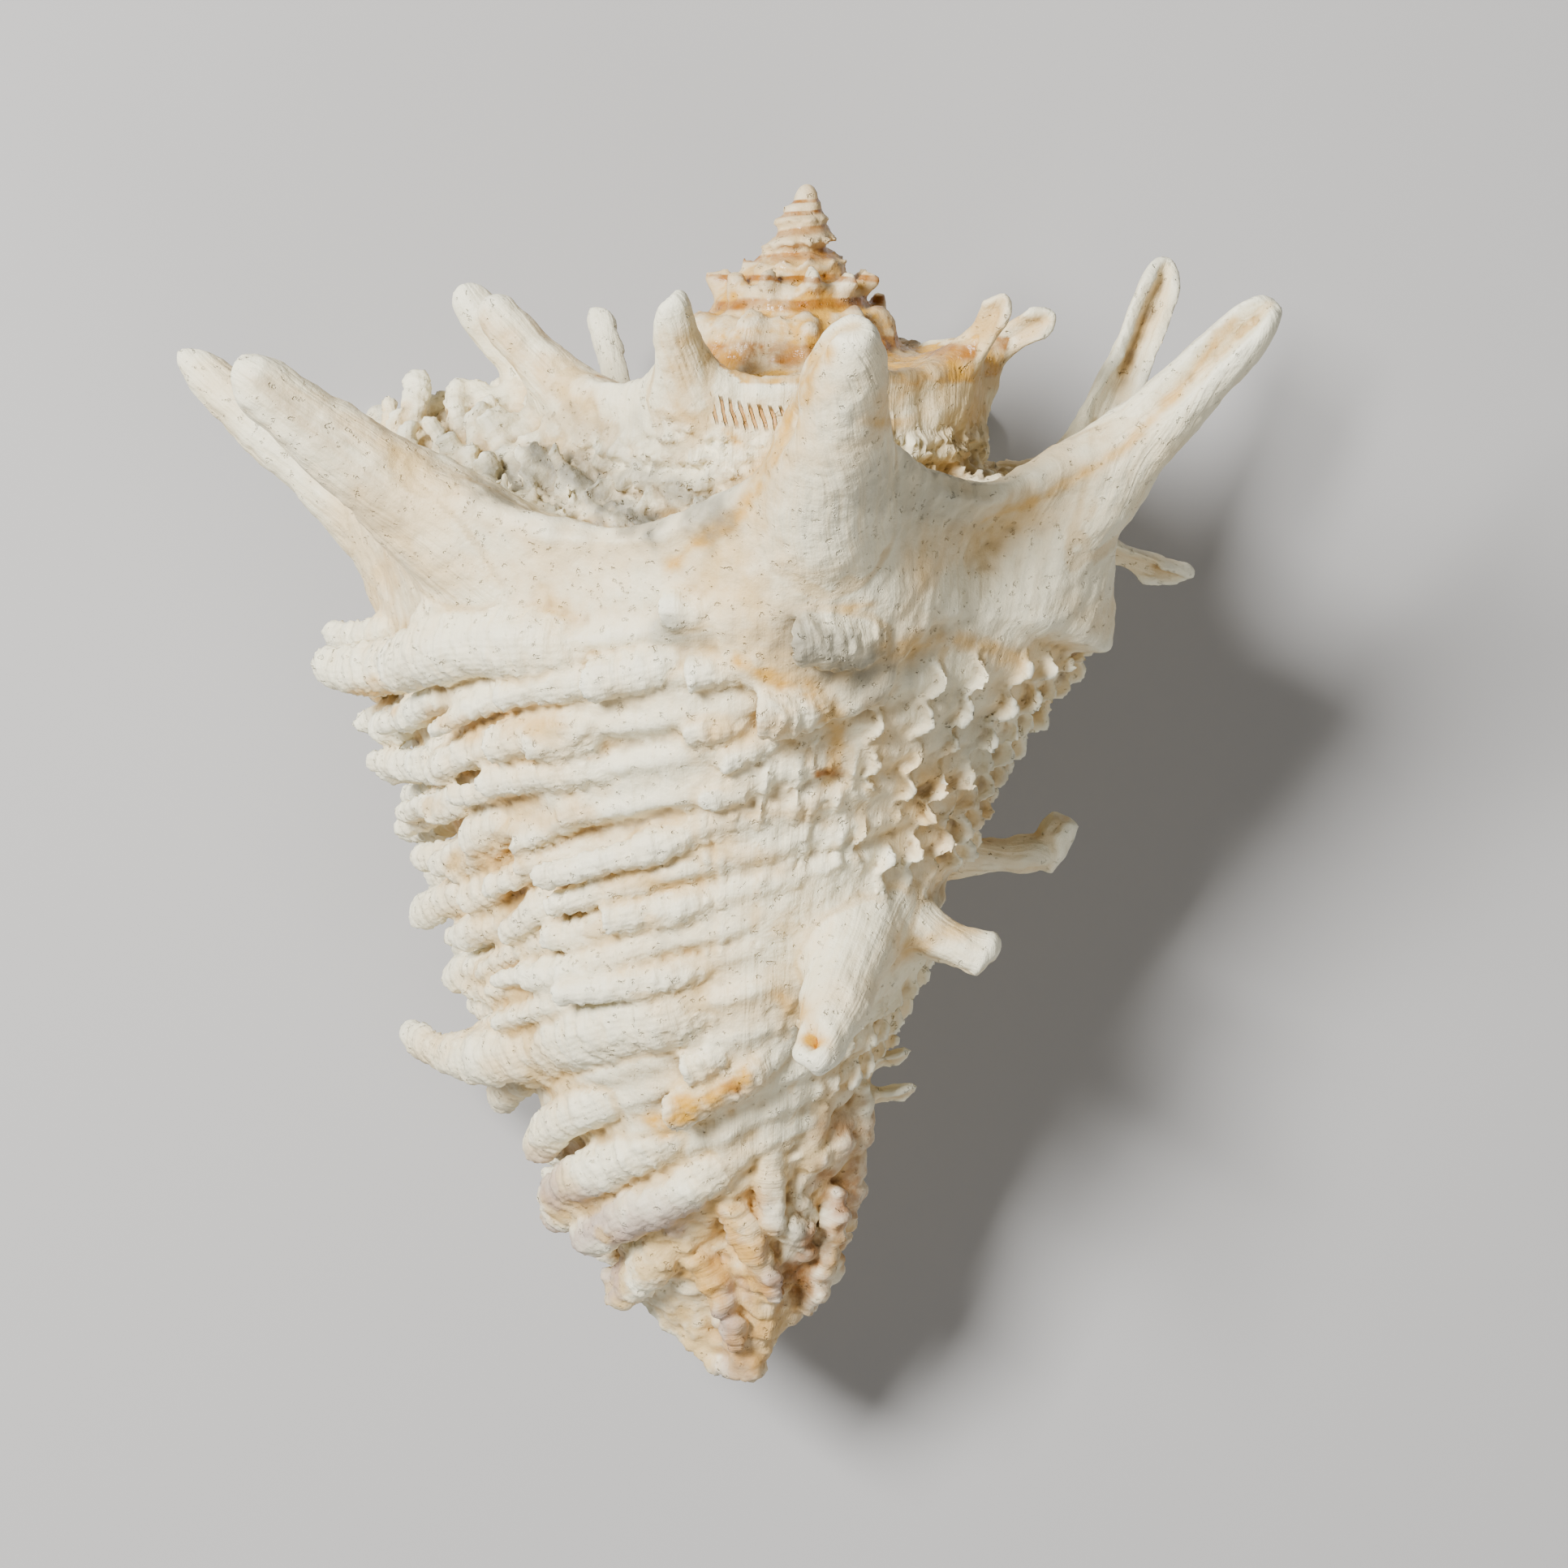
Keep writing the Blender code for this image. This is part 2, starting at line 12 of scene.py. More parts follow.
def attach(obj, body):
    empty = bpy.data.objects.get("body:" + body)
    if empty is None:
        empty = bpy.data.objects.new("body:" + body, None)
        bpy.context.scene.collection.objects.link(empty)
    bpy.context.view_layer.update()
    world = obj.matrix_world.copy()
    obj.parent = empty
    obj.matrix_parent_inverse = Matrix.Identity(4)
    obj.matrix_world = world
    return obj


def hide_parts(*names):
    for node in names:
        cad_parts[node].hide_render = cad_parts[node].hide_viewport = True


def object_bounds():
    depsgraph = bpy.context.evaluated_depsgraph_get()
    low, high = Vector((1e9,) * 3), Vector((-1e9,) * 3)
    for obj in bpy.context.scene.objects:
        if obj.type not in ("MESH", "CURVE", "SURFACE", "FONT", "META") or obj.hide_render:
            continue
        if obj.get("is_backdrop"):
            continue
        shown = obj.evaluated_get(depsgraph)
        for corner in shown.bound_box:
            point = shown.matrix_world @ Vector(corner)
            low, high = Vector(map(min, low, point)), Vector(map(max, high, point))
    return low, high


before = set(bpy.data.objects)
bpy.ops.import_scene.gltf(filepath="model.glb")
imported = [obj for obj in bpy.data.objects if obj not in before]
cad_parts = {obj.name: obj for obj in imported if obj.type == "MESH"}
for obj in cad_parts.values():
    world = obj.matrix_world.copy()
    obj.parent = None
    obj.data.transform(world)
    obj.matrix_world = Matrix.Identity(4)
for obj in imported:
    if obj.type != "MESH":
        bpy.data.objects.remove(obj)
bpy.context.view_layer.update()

# The coiled body: eight turns of shell lime, each laid on the one before as the animal grew.
# The shoulder line and the side of the last whorl shape it, and the shoulder is drawn out at each spine.
# radius and distance from the apex grow by these for each turn, up to the angle of the lip
GROW_R, GROW_U = 1.65, 1.5
LIP = 114.0
# the seam with the whorl before, the shoulder line and the last row on the canal
SEAM_ROW, SHOULDER_ROW, LAST_ROW = 24.9, 41.6, 133.0
# the shoulder line: turn, distance from the apex, radius
TURNS = [-8.0, -7.0, -6.0, -5.0, -4.0, -3.0, -2.0, -1.0, -0.75, -0.5, -0.25, 0.0, 0.07, 0.16, 0.28, 0.45]
TURN_U = [0.8, 2.1, 3.8, 6.6, 9.8, 11.9, 15.8, 23.0, 28.2, 33.2, 37.6, 41.6, 44.9, 45.4, 46.2, 49.0]
TURN_R = [1.0, 2.3, 3.5, 4.8, 6.3, 8.2, 10.9, 25.0, 28.5, 32.3, 36.6, 41.4, 42.6, 44.3, 46.5, 49.5]
# the side of the last whorl at angle 0: radius on each row
SIDE_ROW = [41.6, 46.9, 51.5, 57.1, 65.3, 76.1, 87.5, 98.9, 110.4, 121.7, 128.5, 133.0]
SIDE_R = [41.4, 42.4, 42.8, 41.6, 38.2, 32.6, 29.0, 26.2, 19.8, 13.6, 8.6, 2.2]
# ribs: row at angle 0, height and half width of their scales
RIBS = [(28.4, 0.4, 0), (32.0, 0.5, 0), (35.4, 0.4, 0), (49.6, 1.1, 0), (54.0, 0.8, 2.5), (56.6, 0.4, 0),
        (59.0, 0.8, 2.5), (63.4, 0.8, 2.4), (65.8, 0.4, 0), (68.2, 0.9, 2.5), (72.6, 0.8, 2.3),
        (75.0, 0.4, 0), (77.4, 0.9, 2.5), (81.8, 0.8, 2.3), (84.0, 0.4, 0), (86.2, 0.8, 2.3),
        (90.0, 0.7, 2.0), (95.0, 1.0, 0), (100.5, 0.7, 0), (104.5, 0.8, 2.1), (109.0, 0.9, 2.2),
        (113.5, 0.9, 2.1), (118.0, 0.9, 2.0), (122.5, 0.9, 1.8)]
RIB_WIDTH = 1.35
# ribs run steeper than the rows on the lip side: their pull per turn on each row
PULL_ROW, PULL = [41.6, 47.0, 62.0, 80.0, 94.0, 110.0, 120.0], [1.0, 1.7, 1.7, 1.5, 1.3, 1.18, 1.06]
# shoulder spines: angle of the foot, tip (angle, radius, distance from the apex),
# radius at foot, middle and tip, half opening of the fluted wall, height of the raised shoulder
SPINES = [
    (-452.0, (-443.0, 31.5, 13.6), (4.4, 2.7, 2.0), 120.0, 5.0),
    (-420.0, (-411.0, 31.0, 11.5), (4.4, 2.7, 2.0), 110.0, 5.0),
    (-374.0, (-372.0, 33.0, 15.0), (2.6, 1.3, 0.9), 120.0, 2.5),
    (-331.0, (-334.0, 34.5, 12.9), (6.6, 3.8, 2.3), 150.0, 7.0),
    (-290.0, (-282.0, 39.0, 15.8), (5.6, 3.5, 2.5), 130.0, 6.0),
    (-268.0, (-269.0, 42.0, 14.5), (5.4, 3.3, 2.4), 130.0, 6.0),
    (-222.0, (-219.0, 42.0, 17.0), (4.4, 2.4, 1.8), 130.0, 5.0),
    (-152.0, (-152.0, 55.0, 29.0), (6.4, 3.8, 3.0), 150.0, 6.0),
    (-104.0, (-107.0, 49.0, 5.5), (6.8, 3.3, 2.9), 105.0, 10.0),
    (-50.0, (-56.0, 65.5, 9.8), (9.2, 5.0, 2.6), 171.0, 18.0),
    (-5.0, (-5.0, 72.0, 14.6), (9.6, 7.2, 3.0), 172.0, 24.0),
    (50.0, (62.0, 73.5, 24.2), (9.6, 5.8, 3.1), 142.0, 21.0),
    (88.0, (94.0, 77.0, 25.0), (8.2, 4.7, 2.3), 130.0, 16.0),
    (110.0, (131.0, 74.0, 34.0), (7.4, 4.6, 3.2), 140.0, 10.0),
]
# what each form is: the body, a spine, a scale, the canal, the lining of the hollow
BODY, SPINE, SCALE, CANAL_WALL, LINING = 0, 1, 2, 3, 4
points, triangles, marks, count = [], [], [], 0


def smooth(x, xs, ys):
    """Reads a table with a soft curve through its points."""
    x = np.asarray(x, float)
    xs, ys = np.asarray(xs, float), np.asarray(ys, float)
    slope = np.gradient(ys, xs)
    i = np.clip(np.searchsorted(xs, x) - 1, 0, len(xs) - 2)
    h = xs[i + 1] - xs[i]
    t = np.clip((x - xs[i]) / h, 0, 1)
    return ((2 * t**3 - 3 * t**2 + 1) * ys[i] + (t**3 - 2 * t**2 + t) * h * slope[i]
            + (3 * t**2 - 2 * t**3) * ys[i + 1] + (t**3 - t**2) * h * slope[i + 1])


def cloud(p):
    """Soft noise between -1 and 1 in space, one value for each point."""
    cell = np.floor(p).astype(np.int64)
    f = p - cell
    f = f * f * (3 - 2 * f)
    total = 0.0
    for dx in (0, 1):
        for dy in (0, 1):
            for dz in (0, 1):
                x, y, z = cell[..., 0] + dx, cell[..., 1] + dy, cell[..., 2] + dz
                h = x * 73856093 ^ y * 19349663 ^ z * 83492791
                h = (h ^ (h >> 13)) * 1274126177 & 0x7FFFFFFF
                near_x, near_y, near_z = (np.abs(1 - d - f[..., k]) for k, d in enumerate((dx, dy, dz)))
                total = total + near_x * near_y * near_z * ((h ^ (h >> 16)) % 10007 / 5003.0 - 1)
    return total


def profile(turn, row):
    """Radius and distance from the apex of the bare shell."""
    turn, row = np.broadcast_arrays(np.asarray(turn, float), np.asarray(row, float))
    key_u, key_r = smooth(turn, TURNS, TURN_U), smooth(turn, TURNS, TURN_R)
    old_u, old_r = smooth(turn - 1.0, TURNS, TURN_U), smooth(turn - 1.0, TURNS, TURN_R)
    seam_u = old_u + np.interp(turn, [-1.2, -0.6], [0.52, 0.10]) * (key_u - old_u)
    seam_r = old_r * np.interp(turn, [-1.2, -0.6], [0.97, 0.94])
    v = np.clip((row - SEAM_ROW) / (SHOULDER_ROW - SEAM_ROW), 0, 1)
    full = np.interp(turn, [0.13, 0.24], [0.0, 1.0])
    dip = np.interp(turn, [-2.2, -1.4], [0.42, 1.15]) * v * (1 - v) * (0.6 + 0.9 * v)
    dip = dip * (key_u - seam_u) * (1 - full)
    full = full * 4 * v * (1 - v)
    below = np.maximum(row, SHOULDER_ROW)
    share = np.clip(1 - (below - SHOULDER_ROW) / 12.0, 0, 1) ** 2
    side_u = below * GROW_U**turn + share * (key_u - SHOULDER_ROW * GROW_U**turn)
    side_r = smooth(below, SIDE_ROW, SIDE_R) * GROW_R**turn + share * (key_r - SIDE_R[0] * GROW_R**turn)
    # the last half turn is fuller on the lip side and drawn in on the right
    left = np.interp(turn, [0.0, 0.17, 0.25, 0.32], [0.0, 0.01, -0.005, -0.01])
    right = np.interp(turn, [-0.55, -0.42, -0.26, -0.11, 0.0], [0.0, -0.02, -0.115, -0.03, 0.0])
    side_r = side_r * (1 + left * np.interp(below, [41.6, 47, 110, 117, 123], [0, 1, 1, 0, -1.2])
                       + right * np.interp(below, [58, 68, 105, 115], [0, 1, 1, 0]))
    upper = row <= SHOULDER_ROW
    return (np.where(upper, seam_r + (key_r - seam_r) * v - dip + 2.0 * full, side_r),
            np.where(upper, seam_u + (key_u - seam_u) * v + dip - 6.0 * full, side_u))


def track(angle, row):
    """The row that a rib has reached at an angle."""
    eased = np.maximum(angle, -12.0) + 0.25 * np.minimum(np.asarray(angle) + 12.0, 0)
    return row * np.interp(row, PULL_ROW, PULL) ** (eased / 360.0)


def untrack(angle, row):
    """The row at angle 0 of the rib that passes a place."""
    first = np.asarray(row, float)
    for _ in range(6):
        first = row / (track(angle, first) / first)
    return first


def place(angle, r, u):
    """Cylinder values to x, y, z of the shell's own frame."""
    a = np.radians(angle)
    return np.stack([-np.sin(a) * r, -u + 0 * a, np.cos(a) * r], axis=-1)


def surface(angle, row):
    """The shell's face, with the shoulder drawn out towards each spine."""
    angle, row = np.broadcast_arrays(np.asarray(angle, float), np.asarray(row, float))
    r, u = profile(angle / 360.0, row)
    out = place(angle, r, u)
    for at, tip, sizes, opening, high in SPINES:
        foot = place(at, smooth(at / 360.0, TURNS, TURN_R), smooth(at / 360.0, TURNS, TURN_U))
        way = place(*tip) - foot
        way = way / np.linalg.norm(way)
        wide = 1.28 if at == -5.0 else 1.1 if high > 16 else 1.0
        broad = (angle - at) / np.where(angle < at, 13.0, 11.5) / wide
        swell = (1 + broad**2) ** -1.35 * np.clip((75 - np.abs(angle - at)) / 25.0, 0, 1)
        swell = swell * np.exp(-np.abs((row - SHOULDER_ROW) / np.where(row < SHOULDER_ROW, 5.2, 7.0)) ** 1.7)
        out = out + (high * swell)[..., None] * way
    return out


def axes(angle, row):
    """Point, growth direction, outward normal, direction up the side."""
    angle, row = np.asarray(angle, float), np.asarray(row, float)
    grow = surface(angle + 0.5, row) - surface(angle - 0.5, row)
    up = surface(angle, row - 0.3) - surface(angle, row + 0.3)
    grow = grow / np.linalg.norm(grow, axis=-1, keepdims=True)
    up = up - (up * grow).sum(-1, keepdims=True) * grow
    up = up / np.linalg.norm(up, axis=-1, keepdims=True)
    return surface(angle, row), grow, np.cross(up, grow), up


def rib_height(angle, row):
    """How far the ribs stand out of the side."""
    first = untrack(angle, row)
    return sum(high * np.exp(-((first - at) / RIB_WIDTH) ** 2) for at, high, half in RIBS)


def grid(rows, columns, start=0, turned=False, closed=True):
    """Triangles of a grid, closed around its columns."""
    i, j = np.meshgrid(np.arange(rows - 1), np.arange(columns if closed else columns - 1), indexing="ij")
    k = (j + 1) % columns
    a, b = start + i * columns + j, start + (i + 1) * columns + j
    c, d = start + (i + 1) * columns + k, start + i * columns + k
    tri = np.concatenate([np.stack([a, b, c], -1).reshape(-1, 3), np.stack([a, c, d], -1).reshape(-1, 3)])
    return tri[:, ::-1] if turned else tri


def fan(ring, turned=False):
    """Triangles that close a flat outline."""
    tri = np.array([[ring[0], ring[i], ring[i + 1]] for i in range(1, len(ring) - 1)])
    return tri[:, ::-1] if turned else tri


def add(new_points, new_triangles, kind, lines, along):
    """Keeps one closed form with, for each point, its kind, growth line (mm) and distance along it (mm)."""
    global count
    n = len(new_points)
    points.append(np.asarray(new_points, float))
    triangles.append(np.asarray(new_triangles, int) + count)
    kinds = np.full(n, float(kind))
    marks.append(np.stack([kinds, np.broadcast_to(lines, n), np.broadcast_to(along, n)], axis=1))
    count += n


fine = 1.0
angles = np.concatenate([np.arange(-2880.0, -1080.0, 6.0), np.arange(-1080.0, -480.0, 3.0),
                         np.arange(-480.0, LIP - 0.01, 1.5 / fine), [LIP]])
rows = np.concatenate([np.linspace(SEAM_ROW, SHOULDER_ROW, int(36 * fine))[:-1],
                       np.linspace(SHOULDER_ROW, LAST_ROW, int(170 * fine))])
angle_net, row_net = np.meshgrid(angles, rows, indexing="ij")
net, grow_net, normal_net, up_net = axes(angle_net, row_net)
size_net = np.minimum(1.0, GROW_R ** (angle_net / 360.0))
along_ribs = cloud(np.stack([angle_net / 9.0, row_net / 4.0, 0 * row_net], axis=-1))
lift = rib_height(angle_net, row_net) * (1 + 0.35 * along_ribs) * size_net
# the ribs stand highest on the lip side
on_side = np.clip((row_net - 50) / 5, 0, 1) * np.clip((99 - row_net) / 5, 0, 1)
lift = lift * np.interp(angle_net, [-20, 4, 30], [1.0, 1.4, 2.3]) ** on_side
# knobs on the shoulder of the early whorls
early = np.clip((-400.0 - angle_net) / 60.0, 0, 1)
keel = np.exp(-((row_net - SHOULDER_ROW - 1.0) / 3.0) ** 2)
knob = np.clip(np.cos(np.radians(angle_net * 360.0 / 33.0)) + 0.15, 0, 1.1) ** 1.4 * keel
below_knobs = 0.5 + 0.5 * np.cos(np.radians(angle_net * 360.0 / 22.0))
below_knobs = np.exp(-((row_net - 52.0) / 2.6) ** 2) * below_knobs
spire_size = np.clip(smooth(angle_net / 360.0, TURNS, TURN_R) / 9.0, 0.2, 1.0)
knob = knob * np.interp(angle_net, [-2500, -1400, -1100, -850, -700, -560, -420],
                        [1.0, 1.6, 2.2, 1.9, 1.1, 0.7, 0.5])
knob = knob * (1 + 0.5 * cloud(net / 2.3))
lift = lift * (1 - early) + early * spire_size * (0.35 * keel + knob + 0.6 * below_knobs)
lift = lift + early * 0.8 * spire_size * cloud(net / 1.1 + 3)
# a row of small pits under the rim of the whorl above
pits = np.clip(np.cos(np.radians((angle_net + 1.6 * row_net) * 360.0 / 3.5)), 0, 1) ** 0.7
pits = pits * np.exp(-((row_net - 27.4) / 1.0) ** 4)
lift = lift - 1.8 * pits * np.clip((angle_net + 70) / 20.0, 0, 1) * np.clip((40 - angle_net) / 15.0, 0, 1)
# a crest joins the spines of the last part turn
crest = np.exp(-np.abs((row_net - SHOULDER_ROW + 0.6) / 2.2) ** 1.6)
crest_height = 3.0
lift = lift + crest_height * crest * np.interp(angle_net, [-55, -40, -20, 2, 14, 40, 62, 78],
                                               [0, 0.8, 0.8, 0.3, 0.6, 0.7, 0.4, 0])
# the edge of the last lip frill: the smooth shoulder ends above the open cups of the right side
edge = np.interp(angle_net, [-110, -75, -62.5, -42.5, -32.5, -25, -20, -17.5, -12, -4, 5],
                 [56, 57, 56, 52.5, 51.2, 51.2, 53, 58.8, 61, 60, 56])
over = 1 / (1 + np.exp((row_net - edge) / 0.3)) * np.clip((row_net - 43) / 6, 0, 1)
over = over * np.clip((angle_net + 94) / 16.0, 0, 1) * np.clip((14 - angle_net) / 12.0, 0, 1)
lift = lift * (1 - 0.8 * over) + 2.6 * over
# which swells out into a low spout: its angle, width and height
spout_at, spout_wide, spout_high = -62.0, 9.0, 3.4
spout = np.exp(-((angle_net - spout_at) / spout_wide) ** 2 - ((row_net - edge) / 6.0) ** 2)
lift = lift + spout_high * over * spout
# and is hollowed out on both sides of that spine's root
lift = lift - 4.5 * np.exp(-((angle_net + 35) / 9.0) ** 2 - ((row_net - 47.5) / 4.5) ** 2)
lift = lift - 3.0 * np.exp(-((angle_net + 76) / 6.0) ** 2 - ((row_net - 50) / 5.0) ** 2)
# slow swells where growth paused
lift = lift + size_net * 0.45 * cloud(np.stack([angle_net / 5.0, row_net / 30.0 + 5, 0 * row_net], axis=-1))
net = net + normal_net * lift[..., None]
top = place(angles, 0 * angles, profile(angles / 360.0, SEAM_ROW)[1])[:, None]
low = place(angles, 0 * angles, profile(angles / 360.0, LAST_ROW)[1])[:, None]
sections = np.concatenate([top, net, low], axis=1)
width = sections.shape[1]
body_points = sections.reshape(-1, 3)
body_tris = [grid(len(angles), width), fan(list(range(width)))]
body_lines = np.repeat(angles[:, None] * 0.75, width, axis=1)
body_along = np.concatenate([rows[:1], rows, rows[-1:]])[None, :] + 0 * body_lines

# The hollow behind the lip, lined with smooth porcelain, and the lip's face between its two outlines.
# The animal kept it open as it grew. It narrows to a blind end half a turn back, out of sight.
# thickness of the wall around it, and the angle it takes back from the lip
WALL = 3.2
HOLLOW_TURN = 200.0


def hollow_ring(angle):
    """The hollow in the half plane at one angle."""
    turn = angle / 360.0
    r, u = profile(turn, np.concatenate([np.linspace(SEAM_ROW + 3.5, SHOULDER_ROW, 8),
                                         np.linspace(SHOULDER_ROW + 2, 120.0, 40)]))
    dr, du = np.gradient(r), np.gradient(u)
    size = np.hypot(dr, du)
    r, u = r - du / size * WALL, u + dr / size * WALL
    inner_u = np.linspace(u[-1] - 1.0, u[0] + 2.0, 40)
    old_r, old_u = profile(turn - 1.0, np.linspace(SHOULDER_ROW, LAST_ROW, 60))
    inner_r = np.maximum(np.interp(inner_u, old_u, old_r, right=0.0) + 1.6, 6.5)
    inner_r = np.minimum(inner_r, np.interp(inner_u, u, r) - 0.6)
    r, u = np.concatenate([r, inner_r]), np.concatenate([u, inner_u])
    open_share = math.sin(min(1.0, 0.1 + 0.9 * (angle - LIP + HOLLOW_TURN) / 60.0) * math.pi / 2)
    r, u = r.mean() + (r - r.mean()) * open_share, u.mean() + (u - u.mean()) * open_share
    return place(np.full(len(r), angle), r, u)


steps = np.linspace(LIP - HOLLOW_TURN, LIP, 90)
hollow = np.array([hollow_ring(a) for a in steps])
inner_width = hollow.shape[1]
inner_start = len(body_points)
body_points = np.concatenate([body_points, hollow.reshape(-1, 3)])
body_tris.append(grid(len(steps), inner_width, inner_start, turned=True))
body_tris.append(fan(list(range(inner_start, inner_start + inner_width)), turned=True))
outline = list(range((len(angles) - 1) * width, len(angles) * width))
inline = list(range(inner_start + (len(steps) - 1) * inner_width, len(body_points)))
out_way = place(LIP, 1.0, 0.0)
flat = [[Vector((float(body_points[i] @ out_way), float(-body_points[i][1]), 0.0)) for i in loop]
        for loop in (outline, inline)]
both = outline + inline
body_tris.append(np.array([[both[i] for i in tri] for tri in tessellate_polygon(flat)]))
inner_count = hollow.shape[0] * inner_width
kinds = np.concatenate([np.full(inner_start, float(BODY)), np.full(inner_count, float(LINING))])
lines = np.concatenate([body_lines.ravel(), np.repeat(steps * 0.75, inner_width)])
along = np.concatenate([body_along.ravel(), np.full(hollow.shape[0] * inner_width, 60.0)])
add(body_points, np.concatenate(body_tris), BODY, lines, along)
marks[-1][:, 0] = kinds

# The canal: a tapering bent tube of shell lime that carried the animal's breathing pipe.
# It has a groove on its underside, lengthwise folds, a keel, columns between the last scales, and knots.
# distance from the apex, sideways bend, radius
CANAL = [(86.0, 0.0, 6.0), (97.0, 0.0, 11.0), (108.0, 0.0, 14.0), (116.0, 0.2, 13.6), (124.0, 0.8, 12.2),
         (132.0, 1.8, 9.6), (139.0, 2.4, 7.0), (144.0, 2.3, 4.4), (147.5, 1.9, 2.9), (150.2, 1.7, 2.5),
         (151.4, 1.6, 2.1)]
CANAL_GROOVE = 128.0
CANAL_RINGS, CANAL_SIDES = 130, 150
canal_u, canal_x, canal_r = (np.array(v) for v in zip(*CANAL))
u = np.linspace(canal_u[0], canal_u[-1], CANAL_RINGS)[:, None]
a = np.linspace(0, 360, CANAL_SIDES, endpoint=False)[None, :] + 0 * u
groove = np.exp(-(((a - CANAL_GROOVE + 180) % 360 - 180) / 26.0) ** 2)
r = smooth(u, canal_u, canal_r) * (1 - 0.62 * groove)
folds = np.cos(np.radians(a * 7.0 + u * 16.0)) * np.clip((u - 100) / 10, 0, 1)
tube = place(a, r, u + 0 * r)
knots = cloud(tube / [4.6, 3.4, 4.6]) + 0.6 * np.abs(cloud(tube / 2.1 + 9)) + 0.35 * cloud(tube / 1.2 + 5)
r = r + np.minimum(1.0, r / 9.0) * (0.6 * folds + 2.2 * knots * np.clip((u - 106) / 10, 0, 1))
tube = place(a, r, u + 0 * r)
tube[..., 0] += smooth(u, canal_u, canal_x)
last_ring = list(range((CANAL_RINGS - 1) * CANAL_SIDES, CANAL_RINGS * CANAL_SIDES))
tube_tris = [grid(CANAL_RINGS, CANAL_SIDES), fan(list(range(CANAL_SIDES)), True), fan(last_ring)]
add(tube.reshape(-1, 3), np.concatenate(tube_tris), CANAL_WALL, (a * 0.25).ravel(), (u + 0 * a).ravel())


def cord(line, radii, ring=20):
    """A closed round form along a line of points, for ridges and columns."""
    line, radii = np.asarray(line, float), np.asarray(radii, float)
    ahead = np.gradient(line, axis=0)
    ahead = ahead / np.linalg.norm(ahead, axis=1, keepdims=True)
    side = np.cross(ahead, [0.3, 0.2, 1.0])
    side = side / np.linalg.norm(side, axis=1, keepdims=True)
    up = np.cross(side, ahead)
    a = np.linspace(0, 2 * math.pi, ring, endpoint=False)
    around = np.cos(a)[:, None] * side[:, None] + np.sin(a)[:, None] * up[:, None]
    p = line[:, None] + radii[:, None, None] * around
    m = len(line)
    t = np.repeat(np.linspace(0, 1, m), ring)
    tri = [grid(m, ring), fan(list(range(ring))), fan(list(range((m - 1) * ring, m * ring)), True)]
    add(p.reshape(-1, 3), np.concatenate(tri), CANAL_WALL, t * 30, t * 20)


# the keel along its right, the columns and the knots: both ends, thickness, number of beads
for first, last, thick, beads in (((-62.0, 15.6, 110.0), (-108.0, 7.0, 142.0), 2.6, 13),
                                  ((-10.0, 15.0, 108.0), (-12.0, 12.2, 129.0), 1.9, 3),
                                  ((-38.0, 16.2, 106.0), (-33.0, 13.6, 121.0), 1.6, 3),
                                  ((20.0, 13.0, 122.0), (-15.0, 9.4, 138.0), 2.2, 5),
                                  ((-60.0, 13.2, 124.0), (-55.0, 7.5, 141.0), 2.0, 6),
                                  ((60.0, 11.5, 128.0), (20.0, 5.0, 146.0), 2.0, 6)):
    t = np.linspace(0, 1, 60)
    line = place(*(first[k] + (last[k] - first[k]) * t for k in range(3)))
    line[:, 0] += smooth(-line[:, 1], canal_u, canal_x)
    rough = cloud(np.stack([t * beads * 1.6, 0 * t + thick, 0 * t + first[0]], axis=1))
    beaded = 1 + 0.1 * np.cos(t * 2 * math.pi * beads) + 0.3 * rough
    cord(line, thick * np.sin(math.pi * (0.12 + 0.8 * t)) ** 0.6 * beaded)

# The apex: the first whorls, which the young shell made, end in a smooth round knob of lime.
# It sits on the coiling axis and covers the first turns.
KNOB_R, KNOB_LONG, KNOB_OUT = 1.45, 3.4, 0.7
t = np.linspace(0, 1, 14)
dome = np.sqrt(np.clip(1 - (1 - t / 0.5) ** 2, 0.01, 1) * (t < 0.5) + (t >= 0.5))
cord(np.stack([0.2 + 0 * t, -(KNOB_LONG * t - KNOB_OUT), 0 * t], axis=1), KNOB_R * dome)


# Shoulder spines: folds of the lip thrown out as the shell grew, each open like a gutter along the side that
# looks in the growth direction.
def trough(line, back, side, radius, opening, wall, nose, arc=9):
    """A fluted scale or spine: an arc of a tube carried along a line, closed as a thin solid."""
    across = np.linspace(-1, 1, arc)
    ang = np.radians(opening)[:, None] * across[None, :]
    ahead = np.gradient(line, axis=0)
    ahead = ahead / np.linalg.norm(ahead, axis=1, keepdims=True)
    t = np.linspace(0, 1, len(line))
    pull = (nose * t[:, None] ** 4 * across[None, :] ** 2)[..., None] * ahead[:, None]
    way = np.cos(ang)[..., None] * back[:, None] + np.sin(ang)[..., None] * side[:, None]
    outer = line[:, None] + radius[:, None, None] * way - pull
    inner = line[:, None] + (radius - wall)[:, None, None] * way - pull
    ring = np.concatenate([outer, inner[:, ::-1]], axis=1)
    m = ring.shape[1]
    tri = [grid(len(line), m)]
    for first, turned in ((0, False), ((len(line) - 1) * m, True)):
        j = np.arange(arc - 1)
        quad = np.stack([first + j, first + j + 1, first + m - 2 - j, first + m - 1 - j], axis=1)
        quad = quad[:, ::-1] if turned else quad
        tri += [quad[:, :3], quad[:, [0, 2, 3]]]
    angle = np.concatenate([ang, ang[:, ::-1]], axis=1)
    return ring.reshape(-1, 3), np.concatenate(tri), (angle * radius[:, None]).ravel(), np.repeat(t, m)


